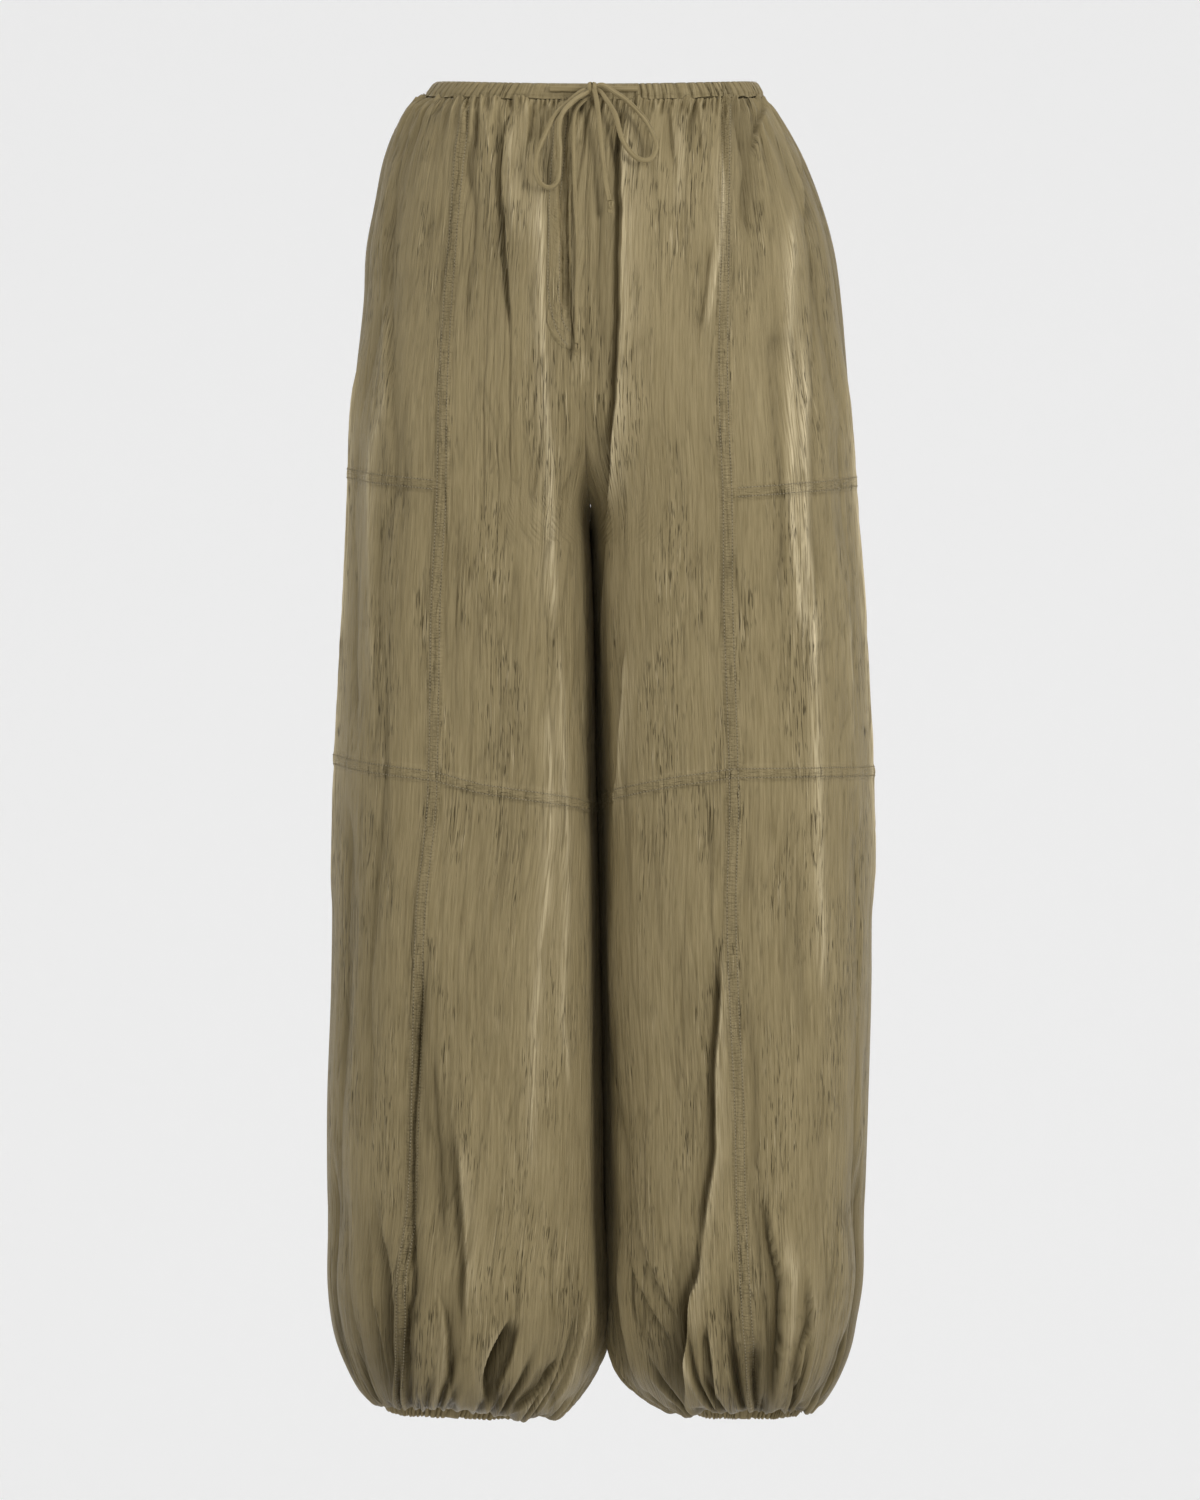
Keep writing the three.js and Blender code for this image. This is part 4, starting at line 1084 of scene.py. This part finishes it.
def build_waistband(material):
    """The gathered casing: up its outer face, over the top and down inside."""
    steps = 1700
    angle, profile = np.meshgrid(np.linspace(0, 2 * math.pi, steps, endpoint=False), np.arange(15))
    share = np.interp(profile, [0, 9, 14], [0, 1, 0.12])
    inside = smooth_step(8, 11, profile)
    round_over = np.sin(np.clip(profile / 9, 0, 1) * math.pi) ** 0.5
    phase = rib_phase(angle + 0.03 * (share - 0.5) * np.cos(angle), 720, BAND["pitch"], SEED + 3)
    x = band_point(angle, share, 0)[..., 0]
    first, last = BAND["plain"]
    plain = smooth_step(0, 3, x - first) * smooth_step(0, 3, last - x) * (np.sin(angle) < 0)
    uneven = 0.75 + 0.5 * lattice_noise(phase / 3, share * 0, SEED + 8)
    ribs = BAND["rib_depth"] * uneven * (1 - 0.85 * plain) * rib_height(phase, 2.4)
    seam = -0.9 * np.exp(-((profile - 1.2) ** 2)) * (1 - inside)
    out = ribs + seam + 0.7 * (round_over - 1) - inside * (BAND["thick"] - 0.6)
    out = out + 0.25 * lattice_noise(angle * 60, share * 5, SEED + 4)
    hem = np.exp(-((profile / 2.0) ** 2)) * (1 - 0.6 * plain)
    points = band_point(angle, share, out)
    points[..., 2] += hem * (0.9 * lattice_noise(phase * 0.9, share * 0, SEED + 12) + 0.3)
    points[..., 2] += 0.45 * ribs * (1 - 2 * inside) * np.exp(-(((profile - 9) / 1.5) ** 2))
    piece = grid_piece("waistband_cloth", points, material, False, closed=True)
    # The valleys between the ribs get painted shade.
    plain_cloth(piece, angle * 112, share * 12, np.clip(-ribs / 3, 0, 0.6).ravel())
    place_piece(piece, "casing", "waistband")


def build_cuff(side, material):
    """A narrow gathered casing at the ankle: down its outer face, under and up inside."""
    x, half_width, half_depth = CUFFS[side]
    half_width -= 3
    steps = 1100
    angle, profile = np.meshgrid(np.linspace(0, 2 * math.pi, steps, endpoint=False), np.arange(13))
    share = np.interp(profile, [0, 8, 12], [0, 1, 0.15])
    inside = smooth_step(7, 10, profile)
    length = math.pi * (half_width + half_depth)
    phase = rib_phase(angle + 0.05 * share, length, CUFF["pitch"], SEED + len(side))
    uneven = 0.8 + 0.5 * lattice_noise(phase / 2.5, share * 0, SEED + 9)
    ribs = CUFF["rib_depth"] * uneven * rib_height(phase, 1.5)
    wave = 0.9 * lattice_noise(angle * 5, angle * 0, SEED + 10)
    wave = wave + 0.6 * lattice_noise(angle * 16, angle * 0, SEED + 11)
    out = CUFF["thick"] / 2 + ribs - 2.4 * share**2 - inside * (CUFF["thick"] - 1.4)
    height = CUFF["height"] * (1 - 0.35 * np.abs(np.cos(angle)) ** 10) - 0.8 * wave
    tilt = HEM_TILT[side] * half_width * np.cos(angle)
    points = np.stack([
        x + (half_width + out) * np.cos(angle),
        (half_depth + out) * np.sin(angle),
        CUFF["top"] + tilt - (height + 0.6 * ribs) * share,
    ], axis=-1)
    piece = grid_piece(f"cuff_{side}_cloth", points, material, True, closed=True)
    # The valleys between the ribs get painted shade.
    plain_cloth(piece, angle * 50, share * 8, np.clip(-ribs / 6, 0, 0.4).ravel())
    place_piece(piece, "casing", f"cuff_{side}")


def smooth_path(points, step):
    """A smooth curve through all the points, in even steps of its length."""
    pts = np.array(points, float)
    ends = np.concatenate([[2 * pts[0] - pts[1]], pts, [2 * pts[-1] - pts[-2]]])
    dense = []
    for k in range(len(pts) - 1):
        p0, p1, p2, p3 = ends[k : k + 4]
        t0 = 0
        t1 = t0 + np.linalg.norm(p1 - p0) ** 0.5
        t2 = t1 + np.linalg.norm(p2 - p1) ** 0.5
        t3 = t2 + np.linalg.norm(p3 - p2) ** 0.5
        t = np.linspace(t1, t2, 24, endpoint=False)[:, None]
        a1 = (t1 - t) / (t1 - t0) * p0 + (t - t0) / (t1 - t0) * p1
        a2 = (t2 - t) / (t2 - t1) * p1 + (t - t1) / (t2 - t1) * p2
        a3 = (t3 - t) / (t3 - t2) * p2 + (t - t2) / (t3 - t2) * p3
        b1 = (t2 - t) / (t2 - t0) * a1 + (t - t0) / (t2 - t0) * a2
        b2 = (t3 - t) / (t3 - t1) * a2 + (t - t1) / (t3 - t1) * a3
        dense.append((t2 - t) / (t2 - t1) * b1 + (t - t1) / (t2 - t1) * b2)
    line = np.concatenate([*dense, pts[-1:]])
    lengths = np.concatenate([[0], np.cumsum(np.linalg.norm(np.diff(line, axis=0), axis=1))])
    marks = np.linspace(0, lengths[-1], max(6, int(round(lengths[-1] / step))) + 1)
    even = np.stack([np.interp(marks, lengths, line[:, k]) for k in range(3)], axis=-1)
    for _ in range(BEND_EASING):
        even[1:-1] = 0.25 * even[:-2] + 0.5 * even[1:-1] + 0.25 * even[2:]
    return even, np.sum(np.linalg.norm(np.diff(even, axis=0), axis=1))


def tape(path, half_width, half_thick, seed):
    """Rings of a soft flat tube along a path, its flat side turned to the front."""
    to_front = np.array([0, -1, 0])
    tangent = np.gradient(path, axis=0)
    tangent /= np.linalg.norm(tangent, axis=1, keepdims=True)
    thin = to_front - tangent * (tangent @ to_front)[:, None]
    thin /= np.maximum(np.linalg.norm(thin, axis=1, keepdims=True), 1e-6)
    for k in range(1, len(thin)):
        if thin[k] @ thin[k - 1] < 0:
            thin[k] = -thin[k]
    wide = np.cross(tangent, thin)
    turn = np.linspace(0, 2 * math.pi, TAPE_AROUND, endpoint=False)
    c, s = np.cos(turn), np.sin(turn)
    r = (np.abs(c) ** 2.6 + np.abs(s) ** 2.6) ** (-1 / 2.6)
    marks = np.arange(len(path))
    swell = 1 + 0.05 * lattice_noise(marks / 5.0, marks * 0.0, seed)
    twist = 0.35 * lattice_noise(marks / 22.0, marks * 0.0 + 3, seed)
    a = half_width * swell[:, None] * r * c
    b = half_thick * r * s * (1 - 0.12 * np.exp(-(((c - 0.55) / 0.2) ** 2)) * (s > 0))
    ca, sa = np.cos(twist)[:, None], np.sin(twist)[:, None]
    a, b = a * ca - b * sa, a * sa + b * ca
    return path[:, None] + wide[:, None] * a[..., None] + thin[:, None] * b[..., None]


def tube_piece(name, parts, material):
    """One mesh of several rings-along-a-path parts, each closed at both ends or joined into a ring."""
    points, faces, across, along, base = [], [], [], [], 0
    for rings, loop in parts:
        rows, columns = rings.shape[:2]
        joined = np.concatenate([rings, rings[:1]]) if loop else rings
        index = np.arange(rows * columns).reshape(rows, columns)
        index = np.concatenate([index, index[:1]]) if loop else index
        a, b = index[:-1], index[1:]
        quads = np.stack([a, np.roll(a, -1, 1), np.roll(b, -1, 1), b], axis=-1).reshape(-1, 4) + base
        faces += quads.tolist()
        if not loop:
            faces.append((index[0][::-1] + base).tolist())
            faces.append((index[-1] + base).tolist())
        points.append(joined[:rows].reshape(-1, 3))
        turn, length = np.meshgrid(np.arange(columns) * 0.9, np.arange(rows) * 1.0)
        across.append(turn.ravel())
        along.append(length.ravel())
        base += rows * columns
    piece = new_mesh(name, np.concatenate(points), faces, material)
    plain_cloth(piece, np.concatenate(across), np.concatenate(along))
    return piece


def lowered(points):
    """The tie hangs with the waist's front, a little below the CAD route's drawn height."""
    return [(x, y, z - TIE_LOWER) for x, y, z in points]


def ring_path(at, radii, tilt, count=40):
    """A loop wound upright round the knot."""
    turn = np.linspace(0, 2 * math.pi, count, endpoint=False)
    x = at[0] + tilt * np.cos(turn + 0.6)
    return np.stack([x, at[1] + radii[0] * np.cos(turn), at[2] + radii[1] * np.sin(turn)], axis=-1)


def ball(at, radii, seed):
    """Rings of a lumpy ball from pole to pole."""
    polar = np.linspace(0.08, math.pi - 0.08, BALL_ROWS)[:, None]
    turn = np.linspace(0, 2 * math.pi, BALL_AROUND, endpoint=False)[None, :]
    lump = 1 + 0.08 * lattice_noise(polar * 3 + turn * 0, turn * 2 + polar * 0, seed)
    x = at[0] + radii[0] * lump * np.sin(polar) * np.cos(turn)
    y = at[1] + radii[1] * lump * np.sin(polar) * np.sin(turn)
    z = at[2] - radii[2] * lump * np.cos(polar)
    return np.stack([x, y, z], axis=-1)


def knot_piece(name, at, radii, wraps, material, end=0):
    """A small knot: a filled middle, turns of the tape wound over it, and the cut end that hangs below."""
    parts = [(ball(at, [0.8 * r for r in radii], SEED), False)]
    if end:
        path = np.array(at) - np.linspace(0, radii[2] + end, 12)[:, None] * np.array([0.12, 0, 1])
        parts.append((tape(path, 0.75 * radii[0], 0.6 * radii[1], SEED), False))
    for shift, tilt in wraps:
        path = ring_path((at[0] + shift, at[1], at[2]), (0.9 * radii[1], 0.9 * radii[2]), tilt)
        parts.append((tape_ring(path, path - np.array(at), 0.36 * radii[0], 0.24 * radii[1]), True))
    return tube_piece(name, parts, material)


def tape_ring(path, outer, half_width, half_thick):
    """Rings of tape along a closed path whose flat side turns outwards."""
    tangent = np.roll(path, -1, 0) - np.roll(path, 1, 0)
    tangent /= np.linalg.norm(tangent, axis=1, keepdims=True)
    thin = outer - tangent * np.sum(outer * tangent, axis=1, keepdims=True)
    thin /= np.linalg.norm(thin, axis=1, keepdims=True)
    wide = np.cross(tangent, thin)
    turn = np.linspace(0, 2 * math.pi, WRAP_AROUND, endpoint=False)
    c, s = half_width * np.cos(turn), half_thick * np.sin(turn)
    return path[:, None] + wide[:, None] * c[None, :, None] + thin[:, None] * s[None, :, None]


def build_tie(material):
    """The drawstring: the stretch on the waistband, the bow's two loops, its tails and the knots."""
    knot_at = lowered([KNOT_AT])[0]
    knots = {"bow_knot": knot_piece("bow_knot_cloth", knot_at, KNOT_RADII, KNOT_WRAPS, material)}
    for name, (at, radii) in TAIL_KNOTS.items():
        knots[name] = knot_piece(f"{name}_cloth", lowered([at])[0], radii, TAIL_WRAPS, material, TAIL_END)
    for name, piece in knots.items():
        place_piece(piece, "tie", name)
    places = np.array([-37, -30, -22, -14, KNOT_AT[0], 6, 14, 22, 30])
    middle = (sum(BAND["left"]) + sum(BAND["right"])) / 4
    half = (sum(BAND["right"]) - sum(BAND["left"])) / 4
    on_band = band_point(-np.arccos((places - middle) / half), 0.62, BAND_TIE_HALF[1] + 0.3)
    band_nodes = ["drawstring_left_band", "drawstring_right_band"]
    strands = {
        "tie_on_band": (on_band, BAND_TIE_HALF, "object", ["bow_knot"], band_nodes),
        "bow_loop_left": (lowered(LOOP_LEFT), TIE_HALF, "object", [], ["bow_loop_left"]),
        "bow_loop_right": (lowered(LOOP_RIGHT), TIE_HALF, "object", [], ["bow_loop_right"]),
        "tail_short": (lowered(TAIL_SHORT), TIE_HALF, "knot", ["tail_knot_short"], ["tail_short"]),
        "tail_long": (lowered(TAIL_LONG), TAIL_HALF, "knot", ["tail_knot_long"], ["tail_long"]),
    }
    for number, (name, (points, halves, far_end, with_knots, nodes)) in enumerate(strands.items()):
        path, length = smooth_path(points, CORD_STEP)
        piece = tube_piece(f"{name}_cloth", [(tape(path, *halves, SEED + number), False)], material)
        place_piece(piece, "tie", *nodes)
        [knots[k] for k in with_knots]


def sewn_line(leg, place, drop, lift):
    """Points and outward directions along a sewn line on a leg."""
    points = read_grid(leg, "grid", place, drop)
    normals = read_grid(leg, "normal", place, drop)
    return points + normals * lift, normals


def beside_column(leg, column, offset, first_drop, last_drop):
    """A line that keeps its distance from a long seam."""
    rows = np.flatnonzero((leg["drops"] >= first_drop) & (leg["drops"] <= last_drop))
    at = leg["arc"][rows, column] + offset

    def at_line(name):
        values = leg[name]
        return np.array([
            [np.interp(a, leg["arc"][row], values[row, :, k]) for k in range(3)] for row, a in zip(rows, at)
        ])

    normals = at_line("normal")
    return at_line("grid") + normals * THREAD_LIFT, normals


def stitches_along(points, normals):
    """Small pointed stitches laid end to end along a line, and dark patches of painted shade at the needle
    holes between them.
    """
    steps = np.linalg.norm(np.diff(points, axis=0), axis=1)
    lengths = np.concatenate([[0], np.cumsum(steps)])
    centres = np.arange(STITCH["pitch"], lengths[-1] - STITCH["pitch"], STITCH["pitch"])

    def diamonds(middles, half_length, half_width, rise):
        """Five corners for each: one end, one side, the top, the other side, the other end."""
        def at(marks, values):
            return np.stack([np.interp(marks, lengths, values[:, k]) for k in range(3)], axis=-1)

        start, end = at(middles - half_length, points), at(middles + half_length, points)
        middle, up = at(middles, points), at(middles, normals)
        side = np.cross(up, end - start)
        side *= half_width / np.maximum(np.linalg.norm(side, axis=1, keepdims=True), 1e-6)
        sunk = up * 0.1
        corners = [start - sunk, middle + side, middle + up * rise, middle - side, end - sunk]
        return np.stack(corners, axis=1)

    stitches = diamonds(centres, STITCH["length"] / 2, STITCH["thick"], 0.8 * STITCH["thick"])
    holes = diamonds(centres[:-1] + STITCH["pitch"] / 2, STITCH["hole"], STITCH["hole"], 0.05)
    return stitches, holes


def build_stitches(leg, fly, material):
    """Every sewn row that shows on one leg."""
    rows = []
    for column in (leg["front_seam"], leg["back_seam"]):
        for offset in (-STITCH["away"], STITCH["away"]):
            rows.append(beside_column(leg, column, offset, 9, 1020))
    knee_places = np.linspace(0.02, 2.98, 700)
    hip_places = np.linspace(1.02, 1.98, 260)
    for places, seam_drop in ((knee_places, KNEE_DROP), (hip_places, HIP_DROP)):
        for offset in (-STITCH["away"], STITCH["away"]):
            rows.append(sewn_line(leg, places, np.full(len(places), seam_drop + offset), THREAD_LIFT))
    if fly:
        for across_end, down_end in ((0.94, 0.985), (0.5, 0.93)):
            turn = np.linspace(0, math.pi / 2, 60)
            across = np.concatenate([np.full(80, across_end), across_end * np.cos(turn)])
            drop_side = np.linspace(0, FLY["end_outer"] * 0.93 / FLY["end_inner"], 80)
            down = np.concatenate([drop_side, drop_side[-1] + (down_end - drop_side[-1]) * np.sin(turn)])
            rows.append(fly_points(leg, across, down, fly_lift(across, down) + THREAD_LIFT))
    parts = [stitches_along(points, normals) for points, normals in rows]
    stitches = np.concatenate([part[0] for part in parts])
    holes = np.concatenate([part[1] for part in parts])
    corners = np.concatenate([stitches, holes])
    base = np.arange(len(corners))[:, None] * 5
    shape = [(0, 1, 2), (0, 2, 3), (4, 2, 1), (4, 3, 2)]
    faces = np.concatenate([base + np.array(face) for face in shape]).tolist()
    piece = new_mesh(f"{leg['side']}_stitches", corners.reshape(-1, 3), faces, material)
    set_attribute(piece, "hole", np.repeat([0, 1], [5 * len(stitches), 5 * len(holes)]))
    place_piece(piece, "cloth")


def build_backdrop():
    """A pale floor that curves up into the wall, and that can't be seen from behind."""
    material = bpy.data.materials.new("floor")
    material.use_nodes = True
    tree = material.node_tree
    make = node_maker(tree)
    shader = tree.nodes["Principled BSDF"]
    behind = make("ShaderNodeNewGeometry")
    clear = make("ShaderNodeBsdfTransparent")
    mix = make("ShaderNodeMixShader")
    tree.links.new(behind.outputs["Backfacing"], mix.inputs[0])
    tree.links.new(shader.outputs["BSDF"], mix.inputs[1])
    tree.links.new(clear.outputs["BSDF"], mix.inputs[2])
    tree.links.new(mix.outputs["Shader"], tree.nodes["Material Output"].inputs["Surface"])
    shader.inputs["Base Color"].default_value = FLOOR_COLOR
    shader.inputs["Roughness"].default_value = FLOOR_ROUGHNESS
    shader.inputs["Emission Color"].default_value = FLOOR_COLOR
    shader.inputs["Emission Strength"].default_value = FLOOR_GLOW
    ends = (-FLOOR_HALF_WIDTH, FLOOR_HALF_WIDTH)
    points = [(x / MM, y / MM, z / MM) for y, z in FLOOR_PROFILE for x in ends]
    floor = new_mesh("floor", points, grid_faces(len(FLOOR_PROFILE), 2, False), material)
    rounding = floor.modifiers.new("round", "SUBSURF")
    rounding.levels = FLOOR_ROUNDING
    rounding.render_levels = FLOOR_ROUNDING


def light_scene():
    """An even pale surround and four soft lamps."""
    world = bpy.data.worlds.new("studio")
    bpy.context.scene.world = world
    world.use_nodes = True
    tree = world.node_tree
    make = node_maker(tree)
    light = tree.nodes["Background"]
    light.inputs["Color"].default_value = (1, 1, 1, 1)
    light.inputs["Strength"].default_value = WORLD_LIGHT
    seen = make("ShaderNodeBackground", Strength=BACKDROP_SHADE)
    rays = make("ShaderNodeLightPath")
    mix = make("ShaderNodeMixShader")
    tree.links.new(rays.outputs["Is Camera Ray"], mix.inputs[0])
    tree.links.new(light.outputs["Background"], mix.inputs[1])
    tree.links.new(seen.outputs["Background"], mix.inputs[2])
    tree.links.new(mix.outputs["Shader"], tree.nodes["World Output"].inputs["Surface"])
    for name, (at, size, power) in LAMPS.items():
        data = bpy.data.lights.new(name, "AREA")
        data.shape = "RECTANGLE"
        data.size, data.size_y = size
        data.energy = power
        lamp = bpy.data.objects.new(name, data)
        bpy.context.collection.objects.link(lamp)
        lamp.location = at
        lamp.rotation_euler = (Vector(LAMP_TARGET) - Vector(at)).to_track_quat("-Z", "Y").to_euler()


def place_camera():
    """The photo's own view: straight from the front, from far away."""
    data = bpy.data.cameras.new("camera")
    camera = bpy.data.objects.new("camera", data)
    bpy.context.collection.objects.link(camera)
    x, z = picture_x(PICTURE_MIDDLE[0]) * MM, picture_z(PICTURE_MIDDLE[1]) * MM
    camera.location = (x, -CAMERA_AWAY, z)
    camera.rotation_euler = (math.pi / 2, 0, 0)
    data.sensor_width = SENSOR
    data.lens = SENSOR * CAMERA_AWAY / (PICTURE_HEIGHT * PIXEL * MM)
    data.clip_end = CAMERA_SEES_TO
    bpy.context.scene.camera = camera
    bpy.context.scene.view_settings.view_transform = "Standard"


build_backdrop()
light_scene()
place_camera()
cloth = cloth_material("crinkled_satin")
casing = cloth_material("gathered_satin", tone=0.95, bump=0.7)
tie_cloth = cloth_material("tie_satin", tone=1.0, bump=0.5)
thread = thread_material()

PANELS = [
    ("front_upper", 0, 1, TOP_DROP, KNEE_DROP),
    ("front_lower", 0, 1, KNEE_DROP, HEM_DROP),
    ("side_top", 1, 2, TOP_DROP, HIP_DROP),
    ("side_mid", 1, 2, HIP_DROP, KNEE_DROP),
    ("side_lower", 1, 2, KNEE_DROP, HEM_DROP),
    ("back_upper", 2, 3, TOP_DROP, KNEE_DROP),
    ("back_lower", 2, 3, KNEE_DROP, HEM_DROP),
]
build_tie(tie_cloth)
legs = {side: build_leg(side) for side in ("left", "right")}
for leg in legs.values():
    for name, first_place, last_place, first_drop, last_drop in PANELS:
        build_panel(leg, name, first_place, last_place, first_drop, last_drop, cloth)
    build_stitches(leg, leg["side"] == "left", thread)
    build_cuff(leg["side"], casing)
build_fly(legs["left"], cloth)
build_waistband(casing)
